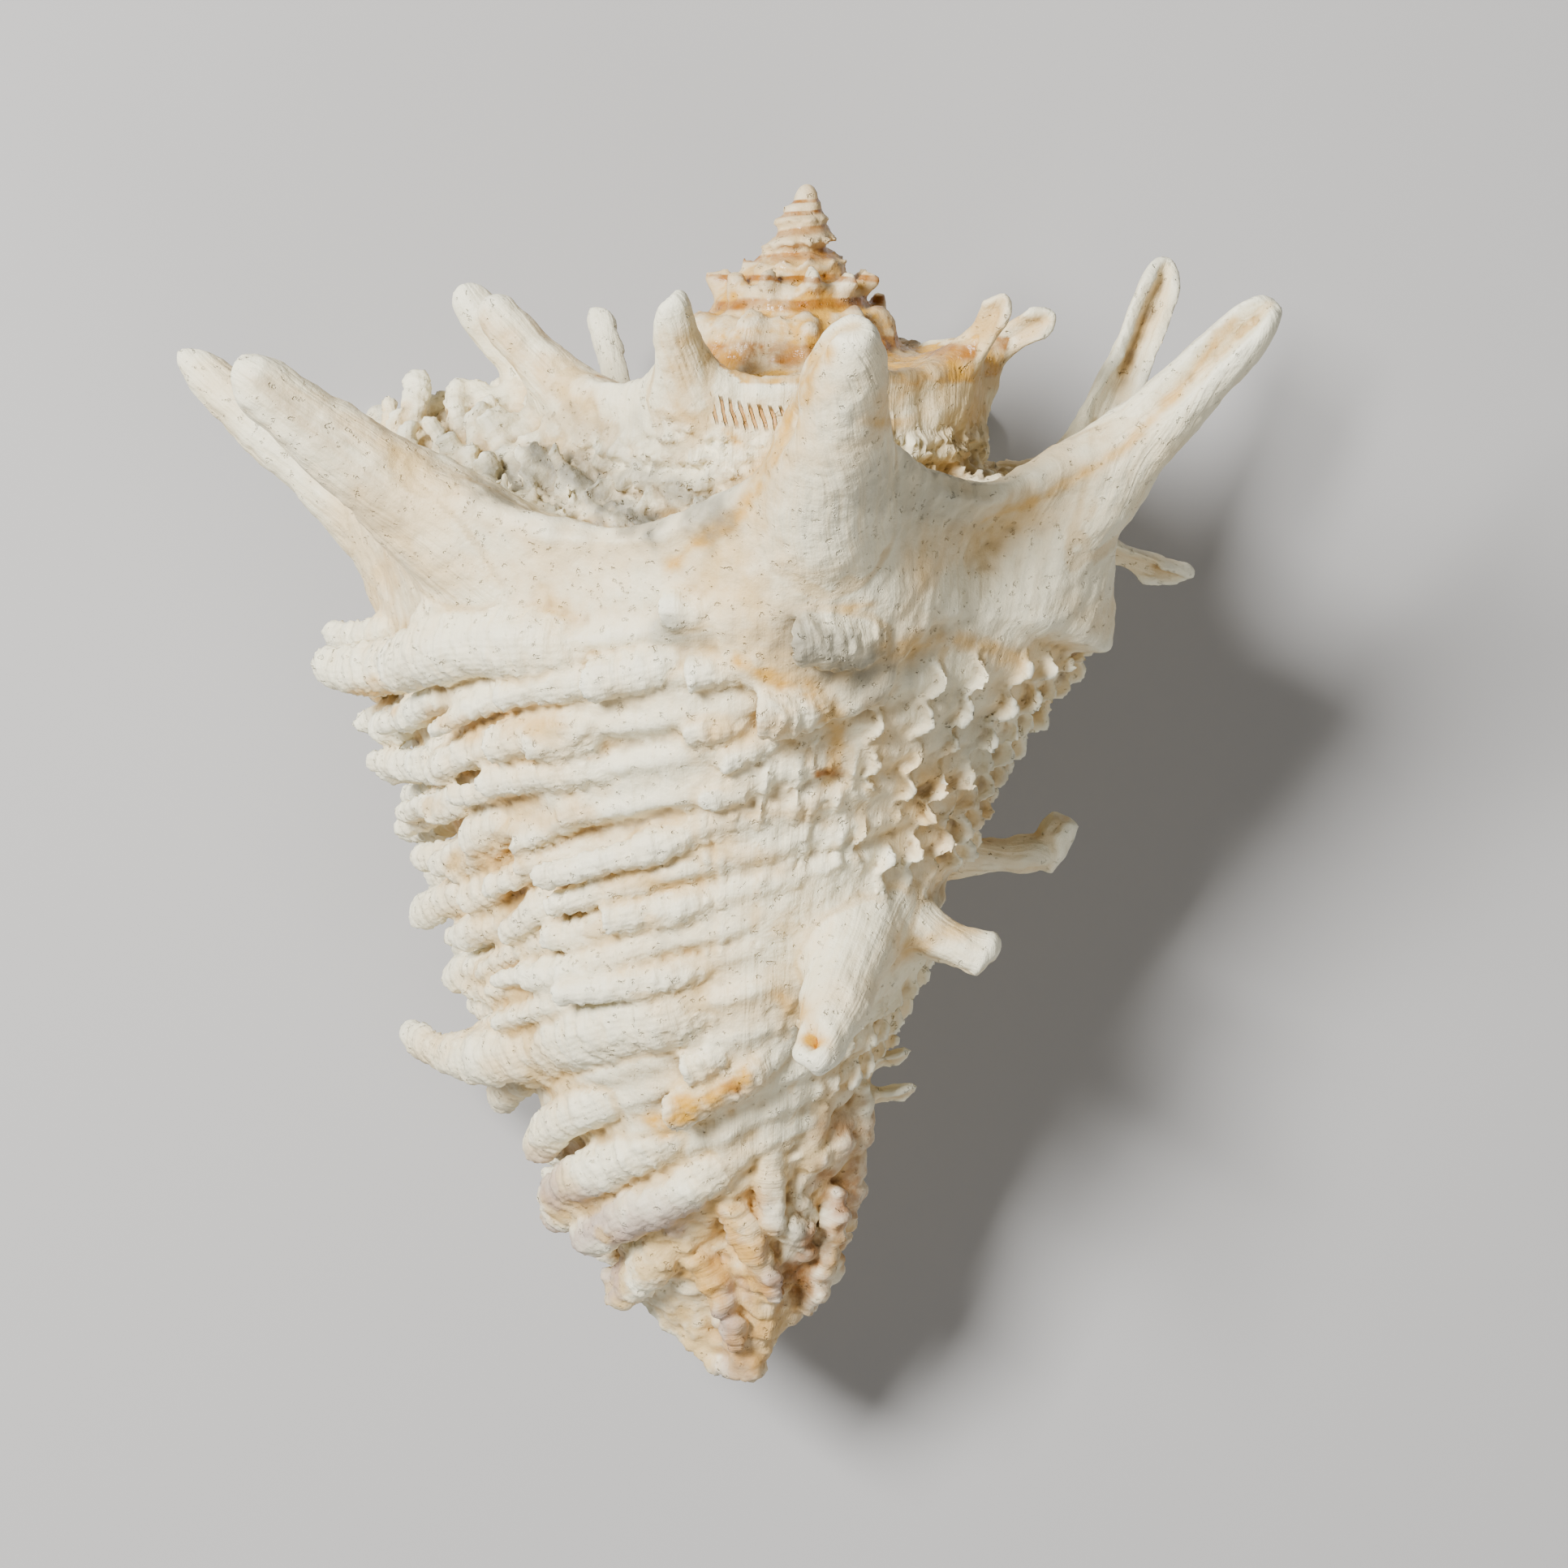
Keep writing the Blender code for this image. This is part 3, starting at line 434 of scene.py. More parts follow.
def spine(at, foot, tip, sizes, opening, wall=1.7, lean=0.05, cap=0.62, to_canal=0.0, tip_opening=None):
    """A fluted spine from a foot on the shell to its tip, open towards the growth and a little the canal."""
    goal = place(*tip)
    length = np.linalg.norm(goal - foot)
    way = (goal - foot) / length
    start = foot - way * sizes[0] * 1.1
    bow = foot + 0.5 * (goal - foot) + place(at, lean * length, 0.0)
    t = np.linspace(0, 1, 46)[:, None]
    line = (1 - t) ** 2 * start + 2 * t * (1 - t) * bow + t**2 * goal
    ahead = np.gradient(line, axis=0)
    ahead = ahead / np.linalg.norm(ahead, axis=1, keepdims=True)
    a = math.radians(at)
    grow = np.array([-math.cos(a), 0.0, -math.sin(a)]) - np.array([0.0, to_canal, 0.0])
    back = -(grow - (ahead @ grow)[:, None] * ahead)
    back = back / np.linalg.norm(back, axis=1, keepdims=True)
    t = t[:, 0]
    radius = smooth(t, [0.0, 0.5, 1.0], sizes) * (1 + 0.03 * np.sin(t * 23 + at))
    spread = 85.0 + (opening - 85.0) * np.clip(t * 2.2, 0, 1) + 6 * np.sin(t * 17 + at)
    if tip_opening:
        spread = spread + (tip_opening - opening) * np.clip((t - 0.6) / 0.2, 0, 1)
    radius = radius * (1 - 0.3 * np.clip((t - 0.9) / 0.1, 0, 1) ** 2)
    p, tri, lines, along = trough(line, back, np.cross(back, ahead), radius, spread,
                                  np.minimum(wall, cap * radius), sizes[2] * (0.3 if wall > 5 else 1.2), 31)
    add(p, tri, SPINE, lines + at, along * length)


# a wall this thick fills the fold, up to the given share of its radius
SOLID, SOLID_CAP = 9.0, 0.78
roots = []
for at, tip, sizes, opening, high in SPINES:
    foot = place(at, smooth(at / 360.0, TURNS, TURN_R), smooth(at / 360.0, TURNS, TURN_U))
    roots.append((foot, place(*tip) - foot, sizes[0], high))
    closed = opening > 170
    spine(at, foot, tip, sizes, opening, wall=SOLID if closed else 1.7, cap=0.8 if closed else 0.62,
          tip_opening=138.0 if at == -50.0 else None)
# lower spines on the side: angle and rib row of the foot, tip, radii, opening, bow
for at, row, tip, sizes, opening, lean in (
        (-24.0, 93.2, (-9.5, 40.6, 101.8), (6.8, 4.2, 2.5), 166.0, 0.16),
        (-44.0, 94.0, (-56.0, 34.5, 91.5), (5.4, 3.6, 2.9), 164.0, 0.04),
        (-92.0, 94.0, (-94.0, 36.8, 80.9), (4.8, 3.0, 2.2), 166.0, -0.05),
        (-92.0, 51.5, (-100.0, 53.0, 46.4), (4.2, 2.9, 2.1), 100.0, 0.0),
        (-76.0, 120.0, (-80.0, 20.5, 107.0), (2.2, 1.6, 1.3), 120.0, -0.1),
        (-76.0, 125.0, (-80.0, 21.5, 111.5), (2.2, 1.6, 1.3), 120.0, -0.1),
        (-140.0, 94.0, (-142.0, 34.0, 84.0), (4.2, 3.2, 2.6), 120.0, 0.0)):
    foot = surface(at, track(at, row))
    roots.append((foot, place(*tip) - foot, sizes[0] * 1.2, 5.0 if sizes[0] > 4 else 1.0))
    closed = opening > 155
    spine(at, foot, tip, sizes, opening, wall=SOLID if closed else 1.3, lean=lean,
          cap=SOLID_CAP if closed else 0.62, to_canal=1.6)
# the one on the far right is hooked towards the spire
spine(-94.0, place(-94.0, 35.6, 80.6), (-94.5, 38.0, 76.2), (2.2, 2.5, 1.9), 170.0, wall=SOLID, cap=0.8,
      to_canal=-1.0)

# Scales on the ribs: thin fluted plates. On the lip side they lie flat and overlap like fingers, on the older
# side they stand up as open cups. Each was laid down by the lip at a pause of growth.
# large ones: angle, rib row at angle 0, length, half width, rise at the start, rise added by the end, drift
LARGE_SCALES = [
    (21.0, 50.4, 33.0, 4.7, 6.0, 8.0, 0.0), (62.0, 50.0, 22.0, 3.9, 14.0, 26.0, -3.0),
    (74.0, 47.6, 16.0, 2.6, 16.0, 20.0, -3.0), (88.0, 50.0, 17.0, 3.4, 20.0, 12.0, -2.0),
    (46.0, 47.4, 9.0, 2.0, 12.0, 8.0, 0.0), (7.0, 48.2, 8.0, 2.8, 12.0, 4.0, 0.0),
    (2.0, 54.6, 9.0, 2.6, 12.0, 8.0, 0.0), (-18.0, 52.6, 14.0, 4.4, 32.0, -14.0, 0.0),
    (-13.0, 58.6, 13.0, 4.2, 18.0, 4.0, 0.0), (2.0, 61.0, 9.0, 2.4, 8.0, 8.0, 0.0),
    (-3.0, 64.6, 8.0, 2.0, 10.0, 8.0, 0.0), (0.0, 68.6, 8.0, 2.0, 10.0, 8.0, 0.0),
    (-4.0, 95.4, 40.0, 6.0, 0.0, 4.0, 1.0), (44.0, 94.8, 40.0, 4.6, 4.0, 50.0, -7.0),
    (90.0, 94.8, 15.0, 3.2, 26.0, 18.0, 0.0), (-14.0, 106.0, 16.0, 3.3, 8.0, 10.0, 0.0),
    (34.0, 104.0, 22.0, 3.1, 7.0, 14.0, 0.0), (14.0, 111.0, 27.0, 3.5, 6.0, 15.0, 0.0),
    (44.0, 111.5, 20.0, 3.2, 10.0, 18.0, 0.0), (6.0, 102.0, 7.0, 3.2, 14.0, 12.0, 0.0),
    (-12.0, 118.0, 27.0, 3.6, 5.0, 12.0, 0.0), (38.0, 124.0, 14.0, 2.9, 12.0, 12.0, 0.0),
    (56.0, 117.5, 6.0, 2.0, 45.0, 10.0, 0.0), (24.0, 116.5, 9.0, 1.7, 10.0, 10.0, 0.0),
    (-176.0, 97.1, 24.0, 4.4, 78.0, 12.0, 0.0), (-215.0, 97.1, 10.0, 3.2, 60.0, 20.0, 0.0),
]


def vary(*key):
    """A steady number between -1 and 1 for a few numbers."""
    x = 12.9898
    for i, k in enumerate(key):
        x = x * 1.37 + k * (78.233 + 11.7 * i)
    x = math.sin(x) * 43758.5453
    return 2 * (x - math.floor(x)) - 1


def scale(angle, row, length, half, rise, curl, drift=0.0, wall=1.0, steps=22, arc=11, taper=0.14):
    """One fluted scale that leaves its rib and lies or stands in the growth direction."""
    t = np.linspace(0, 1, steps)
    slope = np.radians(rise + curl * t)
    mean = (slope[1:] + slope[:-1]) / 2
    along = np.concatenate([[0], np.cumsum(np.cos(mean))]) * length / (steps - 1)
    lift = np.concatenate([[0], np.cumsum(np.sin(mean))]) * length / (steps - 1)
    first = float(track(angle, row))
    at = angle + np.degrees(along / float(profile(angle / 360.0, first)[0]))
    rows = track(at, row) + 0.22 * half * np.sin(t * 3.4 + angle) + drift * t**1.5
    point, grow, normal, up = axes(at, rows)
    sink = 0.6 + half * (0.62 + 0.8 * np.clip(1 - t * 2.6, 0, 1) ** 2)
    line = point + normal * (lift + 0.9 - sink)[:, None]
    back = -np.sin(slope)[:, None] * grow + np.cos(slope)[:, None] * normal
    ringed = 1 + 0.04 * np.sin(t * 0.55 * length + row) + 0.1 * ((t * length / 2.3 + angle) % 1 - 0.5)
    radius = half * (1 - taper * t**1.5) * (0.75 + 0.25 * np.clip(t * 2.6, 0, 1)) * ringed
    p, tri, lines, far = trough(line, back, up, radius, np.full(steps, 88.0), np.minimum(wall, 0.6 * radius),
                                half * 0.35, arc)
    add(p, tri, SCALE, angle * 0.75 + far * length, row + lines)


for values in LARGE_SCALES:
    scale(*values, arc=17, steps=30, taper=0.5 if values[5] > 40 else 0.2)
for row, high, half in RIBS:
    if not half:
        continue
    reach = float(np.interp(row, [53, 60, 88, 99, 123], [17.0, 20.0, 19.0, 13.0, 9.0]))
    stop = 5.0 if row < 97 else 74.0
    at = LIP - (2.0 if row < 97 else 12.0) - 6.0 * abs(vary(row, 1))
    while at > stop:
        edge_on = min(1.0, max(0.0, (at - 44.0) / 44.0))
        long = reach * (1 + 0.25 * vary(row, at)) * (1 - 0.28 * edge_on)
        wide = half * (1 + 0.2 * vary(at, 7))
        scale(at, row + 0.5 * vary(at, row, 12), long, wide, 8 + 3 * vary(at, row) + 20 * edge_on,
              10.0 + 12 * edge_on, -2.0 * edge_on + 1.6 * vary(at, row, 11), wall=0.9,
              taper=0.25 + 0.25 * vary(at, row, 13))
        if vary(at, row, 9) > 0.45:
            scale(at + 4.5, row, (0.5 + 0.12 * vary(at, 5)) * long, wide * 1.06, 10 + 26 * edge_on, 12.0,
                  -1.0 * edge_on)
        step = (0.62 - 0.08 * edge_on) * reach * (1 + 0.22 * vary(at, row, 2))
        at -= math.degrees(step / float(profile(at / 360.0, track(at, row))[0]))

# Frills of the older side: each pause of growth left a thin wavy sheet of lime that stands up, folded into an
# open cup on every rib. They are low and worn next to the smooth shoulder, tall and thin at the right edge.
rib_rows = np.array([row for row, high, half in RIBS if row > 44 and high > 0.5])


def frill(angle, low_row, high_row, tall, flute, lean=66.0, wall=0.85):
    """One thin standing sheet across the ribs."""
    rows = np.arange(low_row, high_row, 0.45)
    n = len(rows)
    index = np.interp(rows, track(angle, rib_rows), np.arange(len(rib_rows)))
    wave = np.abs(np.cos(math.pi * index)) ** 0.55
    broken = np.clip(1.3 - np.abs(angle + 32.0) / 22.0, 0, 1)
    broken = broken * np.clip(1.5 - np.abs(rows - 76.0) / 12.0, 0, 1)
    rough = cloud(np.stack([rows / 3.0, 0 * rows + angle * 0.37, 0 * rows], axis=-1))
    drift = 1.5 * cloud(np.stack([rows / 9.0, 0 * rows + angle * 0.11, 0 * rows + 4], axis=-1))
    point, grow, normal, up = axes(angle + drift, rows)
    ends = np.clip(np.minimum(np.arange(n), np.arange(n)[::-1]) / 4.0, 0.05, 1)
    height = tall * (0.4 + 0.6 * wave) * (1 + (0.12 + 0.5 * broken) * rough) * ends
    t = np.linspace(0, 1, 8)[None, :]
    out = height[:, None] * t
    ahead = out * math.cos(math.radians(lean)) - flute * wave[:, None] * (0.5 + 0.5 * t)
    thick = wall * (1 - 0.35 * t)
    middle = point[:, None] + normal[:, None] * (out * math.sin(math.radians(lean)) - 0.9)[..., None]
    front = middle + grow[:, None] * (ahead + thick / 2)[..., None]
    back = middle + grow[:, None] * (ahead - thick / 2)[..., None]
    ring = np.concatenate([front, back[:, ::-1]], axis=1)
    m = ring.shape[1]
    tri = np.concatenate([grid(n, m), fan(list(range(m))), fan(list(range((n - 1) * m, n * m)), True)])
    add(ring.reshape(-1, 3), tri, SCALE, angle * 0.75, np.repeat(rows, m))


at = -17.0
while at > -205:
    tall = float(np.interp(at, [-205, -110, -70, -40, -17], [2.5, 3.8, 4.4, 3.2, 2.0])) + 0.9
    first = float(np.interp(at, [-110, -75, -62.5, -42.5, -32.5, -25, -20], [51, 55, 56, 54.5, 53.5, 54, 57]))
    frill(at, first, float(track(at, 91.0)), tall, 3.0)
    frill(at, float(track(at, 97.0)), float(track(at, 118.0)), 0.75 * tall, 1.2)
    at -= math.degrees(5.0 * (1 + 0.15 * vary(at, 4)) / float(profile(at / 360.0, 70.0)[0]))
# crowded low lamellae where the ribs meet the frills
at = 14.0
while at > -17:
    frill(at, 61.0 - 0.1 * at, float(track(at, 91.0)), 2.4 + 0.6 * vary(at, 6), 0.9, 52.0)
    frill(at, float(track(at, 96.5)), float(track(at, 105.0)), 1.9, 0.5, 50.0)
    at -= 2.6 * (1 + 0.3 * vary(at, 8))
# knobbed small cups on the ramp above the shoulder, largest next to the lip
for row in (26.6, 28.8, 31.2, 33.6, 36.0, 38.0):
    at = 112.0
    while at > -250:
        if 14 + 9 * vary(row, 2) < at or -100 < at < -58 or at < -130:
            big = float(np.interp(at, [10, 50, 75, 112], [0.6, 0.8, 1.4, 1.5]))
            long, wide = (4.6 + 1.3 * vary(at, row)) * big, (1.45 + 0.3 * vary(at, row, 6)) * big
            scale(at, row + 0.6 * vary(at, row, 5), long, wide, 38.0 + 16 * vary(at, row, 4), 14.0,
                  0.8 * vary(at, row, 7), wall=0.8, steps=9, arc=9)
        at -= 3.8 * (1 + 0.35 * vary(at, row, 3)) * float(np.interp(at, [10, 112], [1.0, 1.5]))

# One shell: the forms are fused into one skin of lime, as they grew, and roughened as a beach-worn shell is.
# Then it is laid down on the floor, marked with the places of its stains, and cut into a few pieces.
# the coiling axis leans down to the spire and turns a little in the picture; middle of the shell on that axis
PITCH, LEAN = math.radians(8.0), math.radians(-3.55)
MIDDLE_U = 75.0
# place of that middle over the floor, and the floor's height under the axis
OFFSET = (7.5, 0.9)
FLOOR = -40.6
# size of the cells that fuse the forms
CELL = 0.5
raw_points, raw_tris, raw_marks = np.concatenate(points), np.concatenate(triangles), np.concatenate(marks)
raw_mesh = bpy.data.meshes.new("shell_forms")
raw_mesh.from_pydata(raw_points.tolist(), [], raw_tris.tolist())
raw = bpy.data.objects.new("shell_forms", raw_mesh)
bpy.context.scene.collection.objects.link(raw)
fuse = raw.modifiers.new("fuse", "REMESH")
fuse.mode = "VOXEL"
fuse.voxel_size = CELL
fused = raw.evaluated_get(bpy.context.evaluated_depsgraph_get()).to_mesh()
n = len(fused.vertices)
skin = np.empty(n * 3, np.float32)
fused.vertices.foreach_get("co", skin)
skin = skin.reshape(-1, 3).astype(float)
quads = np.empty(len(fused.loops), np.int32)
fused.loops.foreach_get("vertex_index", quads)
quads = quads.reshape(-1, 4)
raw.evaluated_get(bpy.context.evaluated_depsgraph_get()).to_mesh_clear()
bpy.data.objects.remove(raw)
edges = np.concatenate([quads[:, [0, 1]], quads[:, [1, 2]], quads[:, [2, 3]], quads[:, [3, 0]]])
degree = np.bincount(edges[:, 0], minlength=n) + np.bincount(edges[:, 1], minlength=n)


def spread(values, times=1):
    """Mean over the neighbours of each point, repeated."""
    values = values.reshape(n, -1)
    for _ in range(times):
        total = np.zeros_like(values)
        for c in range(values.shape[1]):
            total[:, c] = (np.bincount(edges[:, 0], values[edges[:, 1], c], n)
                           + np.bincount(edges[:, 1], values[edges[:, 0], c], n)) / degree
        values = total
    return values


def outward(p):
    """Unit normals of the fused skin."""
    cross = np.cross(p[quads[:, 2]] - p[quads[:, 0]], p[quads[:, 3]] - p[quads[:, 1]])
    total = np.zeros((n, 3))
    for k in range(4):
        for c in range(3):
            total[:, c] += np.bincount(quads[:, k], cross[:, c], n)
    return total / np.maximum(np.linalg.norm(total, axis=1, keepdims=True), 1e-9)


skin = 0.5 * skin + 0.5 * spread(skin)
# a spine grows out of the shoulder without a step: the joint is drawn smooth around each foot
ease = np.zeros(n)
for foot, way, wide, high in roots:
    way = way / np.linalg.norm(way)
    far = (skin - foot) @ way
    aside = np.linalg.norm(skin - foot - far[:, None] * way, axis=1)
    ease = np.maximum(ease, np.clip(1.3 - np.abs(far - 0.55 * high) / (0.75 * high + 2), 0, 1)
                      * np.clip(1.5 - aside / wide, 0, 1))
ease = np.minimum(ease * 1.5, 1)[:, None]
for _ in range(45):
    skin = skin + ease * (spread(skin) - skin)
normal = outward(skin)
worn = 0.2 * cloud(skin / 1.9) + 0.11 * cloud(skin / 0.95 + 7) + 0.34 * cloud(skin / 6.0 + 3)
# the young whorls are the smoothest
worn = worn * np.clip(-skin[:, 1] / 25.0, 0.15, 1)
skin = skin + normal * worn[:, None]
normal = outward(skin)
# hollows of the skin, small and large, for stains and painted shade
near_dent = np.clip(((spread(skin, 3) - skin) * normal).sum(1) / (0.5 * CELL), -1, 1)
far_dent = np.clip(((spread(skin, 24) - skin) * normal).sum(1) / (2.2 * CELL), -1, 1)
far_dent = spread(far_dent, 2)[:, 0]
deep = np.clip(((spread(skin, 110) - skin) * normal).sum(1) / 1.5, -1, 1)
# nearest place on the unfused forms gives each point its kind and its growth line
tree = BVHTree.FromPolygons(raw_points.tolist(), raw_tris.tolist())
hit = np.empty(n, int)
spot = np.empty((n, 3))
for i, p in enumerate(skin.tolist()):
    found = tree.find_nearest(p)
    hit[i], spot[i] = found[2], found[0][:]
corner = raw_points[raw_tris[hit]]
whole = np.linalg.norm(np.cross(corner[:, 1] - corner[:, 0], corner[:, 2] - corner[:, 0]), axis=1) + 1e-12
part_1 = np.linalg.norm(np.cross(corner[:, 0] - spot, corner[:, 2] - spot), axis=1) / whole
part_2 = np.linalg.norm(np.cross(corner[:, 0] - spot, corner[:, 1] - spot), axis=1) / whole
weights = np.stack([1 - part_1 - part_2, part_1, part_2], axis=1)
mark = (raw_marks[raw_tris[hit]] * weights[..., None]).sum(1)
kind = raw_marks[raw_tris[hit][:, 0], 0]
# the free scales are laid down in steps, one lamella over the other
stepped = (mark[:, 1] / 1.9 + 0.8 * cloud(skin / 3.0 + 11)) % 1.0
stepped = np.where(kind == SCALE, 0.34, np.where(kind == BODY, 0.12, 0.0)) * (stepped**1.5 - 0.4)
skin = skin + normal * (stepped + np.where(kind == SCALE, 0.16, 0.0) * cloud(skin / 0.8 + 21))[:, None]
# the ramp above the shoulder is lumpy with worn frills
new_side = np.clip((38.5 - mark[:, 2]) / 2.5, 0, 1) * np.clip((mark[:, 1] + 120) / 15.0, 0, 1)
old_side = np.clip((mark[:, 2] - 45.5) / 2.5, 0, 1) * np.clip((-140 - mark[:, 1]) / 15.0, 0, 1)
ramp = (kind == BODY) * np.maximum(new_side, old_side) * np.clip((-skin[:, 1] - 26) / 3.0, 0, 1)
chips = (mark[:, 1] / 2.3 + 0.3 * mark[:, 2] + 1.7 * cloud(skin / 2.2 + 17)) % 1.0
lumps = 1.5 * cloud(skin / [2.8, 1.8, 2.8] + 31) + 1.3 * np.abs(cloud(skin / [1.6, 1.0, 1.6] + 4))
lumps = lumps + 0.9 * chips**2 - 0.5
skin = skin + normal * (0.9 * spread(ramp * 1.0, 3)[:, 0] * lumps)[:, None]
# and so is the end of the canal
rough_end = (kind != SPINE) * (kind != SCALE) * np.clip((-skin[:, 1] - 118) / 9.0, 0, 1)
lumps = 1.6 * cloud(skin / [2.2, 1.5, 2.2] + 5) + 1.2 * np.abs(cloud(skin / [1.3, 0.9, 1.3] + 8)) - 0.2
skin = skin + normal * (0.42 * spread(rough_end * 1.0, 3)[:, 0] * lumps)[:, None]
normal = outward(skin)
# place along the whorls: 0 on a shoulder line, 1 on the next one
around = np.degrees(np.arctan2(-skin[:, 0], skin[:, 2]))
reach = np.hypot(skin[:, 0], skin[:, 2])
down = -skin[:, 1]
whorl = np.full(n, -8.0)
for k in range(-8, 1):
    line_u = smooth(np.clip(around / 360.0 + k, -8, 0.45), TURNS, TURN_U)
    next_u = smooth(np.clip(around / 360.0 + k + 1, -8, 0.45), TURNS, TURN_U)
    inside = (down >= line_u) & (down < next_u) & (around / 360.0 + k + 1 <= LIP / 360.0)
    whorl = np.where(inside, k + (down - line_u) / np.maximum(next_u - line_u, 0.01), whorl)
whorl = np.where(down > 41, 0.5, whorl)
is_spire = (down < 23.0 + 0.02 * around) & (reach < 27.0) & (kind != SPINE)

# where the growth lines of two forms meet, they fade out and a painted shadow line is laid
step_over = np.abs(mark[edges[:, 0], 1:] - mark[edges[:, 1], 1:]).sum(1)
clear = np.ones(n)
torn = edges[step_over > 2.0 * CELL + 0.6]
clear[torn.ravel()] = 0
clear = np.clip(spread(spread(clear, 1) ** 3, 2)[:, 0], 0, 1)

cp, sp, cl, sl = math.cos(PITCH), math.sin(PITCH), math.cos(LEAN), math.sin(LEAN)
turn_x = np.array([[1, 0, 0], [0, cp, -sp], [0, sp, cp]])
turn_z = np.array([[cl, -sl, 0], [sl, cl, 0], [0, 0, 1]])
laid = (skin + [0, MIDDLE_U, 0]) @ (turn_z @ turn_x).T + [OFFSET[0], OFFSET[1], -FLOOR]
laid_normal = normal @ (turn_z @ turn_x).T
laid[:, 2] = np.maximum(laid[:, 2], 0.02)
# the place of each point on a 1932 sheet seen from above: millimetres to a pixel at the shell's axis, height
# of the eye over it, middle of the sheet
PIXEL, EYE, SHEET_MIDDLE = 0.102, 500.0, 966.0
SHEET_X, SHEET_Y = OFFSET[0] + 1.95, OFFSET[1] + 0.8
nearer = EYE / (EYE - FLOOR - laid[:, 2:3])
seen = SHEET_MIDDLE + (laid[:, :2] - [SHEET_X, SHEET_Y]) * [1, -1] * nearer / PIXEL


def strokes(table):
    """How strongly the strokes of one kind lie on each point."""
    amount = np.zeros(n)
    blur = 12.0 * cloud(skin / 2.0 + 2) + 5.0 * cloud(skin / 0.9)
    for path, wide, strong in table:
        away = np.full(n, 1e9)
        path = np.asarray(path, float)
        for p, q in zip(path, path[1:] if len(path) > 1 else path):
            run = q - p
            t = np.clip(((seen - p) @ run) / max(run @ run, 1e-9), 0, 1)
            away = np.minimum(away, np.linalg.norm(seen - p - t[:, None] * run, axis=1))
        amount = np.maximum(amount, strong * np.exp(-np.maximum(away + blur * wide / 16.0, 0) ** 2 / wide**2))
    return amount * np.clip(laid_normal[:, 2] * 4 + 0.4, 0, 1) * (laid[:, 2] > 30)


# the fold of the lower spine was left open near its tip
HOLE_AT, HOLE_WIDE, HOLE_DEEP = (1001, 1277), (12.0, 15.0), 3.2
hole = np.exp(-(((seen - HOLE_AT) / HOLE_WIDE) ** 2).sum(1)) * (laid[:, 2] > 55)
laid = laid - laid_normal * (HOLE_DEEP * hole)[:, None]
laid_normal = outward(laid)
# ochre and rusty stains, and greyish painted shade, each a stroke on the sheet: its points, half width and
# strength
stain = strokes([
    ([(1015, 430), (975, 510), (956, 552), (942, 580), (915, 632), (876, 656), (820, 702)], 12, 0.95),
    ([(990, 480), (962, 560), (930, 630)], 24, 0.4), ([(900, 690), (930, 760), (960, 840)], 42, 0.4),
    ([(1042, 750), (1072, 744)], 7, 0.8), ([(910, 815), (950, 835), (1000, 850)], 13, 0.95),
    ([(1010, 860), (1032, 900), (1022, 950)], 17, 0.75),
    ([(1215, 640), (1290, 612), (1380, 558), (1450, 485), (1520, 395)], 7, 0.75),
    ([(1135, 700), (1200, 652), (1265, 622)], 24, 0.4), ([(600, 400), (680, 470), (722, 502)], 18, 0.5),
    ([(838, 420), (835, 500), (850, 520)], 15, 0.55), ([(1100, 500), (1160, 440), (1230, 390)], 26, 0.6),
    ([(1200, 510), (1240, 440), (1280, 400)], 14, 0.5), ([(842, 515), (905, 520), (962, 512)], 17, 0.45),
    ([(893, 530), (912, 546)], 7, 1.2), ([(1068, 522), (1120, 516)], 9, 0.7),
    ([(445, 850), (475, 862)], 14, 0.8), ([(600, 885), (685, 892)], 13, 0.6),
    ([(530, 880), (585, 902)], 12, 0.6), ([(880, 905), (950, 898), (1000, 930)], 18, 0.55),
    ([(925, 1002), (1000, 1000)], 18, 0.5), ([(878, 1040), (945, 1062)], 18, 0.45),
    ([(748, 1082), (830, 1092)], 12, 0.5), ([(640, 1010), (720, 1000)], 12, 0.4),
    ([(560, 1060), (640, 1062)], 12, 0.45), ([(1000, 1275), (1003, 1278)], 15, 1.2),
    ([(962, 1228), (1000, 1262)], 11, 0.8), ([(815, 1385), (868, 1352), (915, 1328)], 20, 1.0),
    ([(1096, 800), (1180, 788), (1250, 806)], 14, 0.7), ([(1080, 880), (1100, 960)], 24, 0.4),
    ([(1148, 960), (1205, 1002)], 24, 0.5), ([(1148, 1010), (1162, 1090)], 26, 0.45),
    ([(1118, 1165), (1185, 1142)], 17, 0.6), ([(1230, 1092), (1290, 1080)], 12, 0.4),
    ([(900, 1500), (925, 1560), (930, 1620)], 22, 0.75), ([(862, 1540), (884, 1600)], 16, 0.7),
    ([(905, 1650), (925, 1680)], 20, 0.6), ([(470, 700), (480, 760)], 14, 0.35),
    ([(300, 455), (420, 560), (520, 700)], 16, 0.25), ([(330, 470), (470, 545), (560, 600)], 18, 0.3),
])
brown = strokes([
    ([(1052, 1395), (1050, 1450), (1026, 1520), (990, 1590)], 34, 0.8),
    ([(1008, 953), (1036, 950)], 5, 1.0), ([(895, 1338), (905, 1345)], 12, 0.8),
    ([(880, 1560), (900, 1640)], 15, 0.5), ([(940, 1480), (950, 1580)], 18, 0.5),
    ([(900, 1640), (920, 1690)], 26, 0.4), ([(1060, 1440), (1030, 1560), (975, 1640)], 44, 0.35),
])
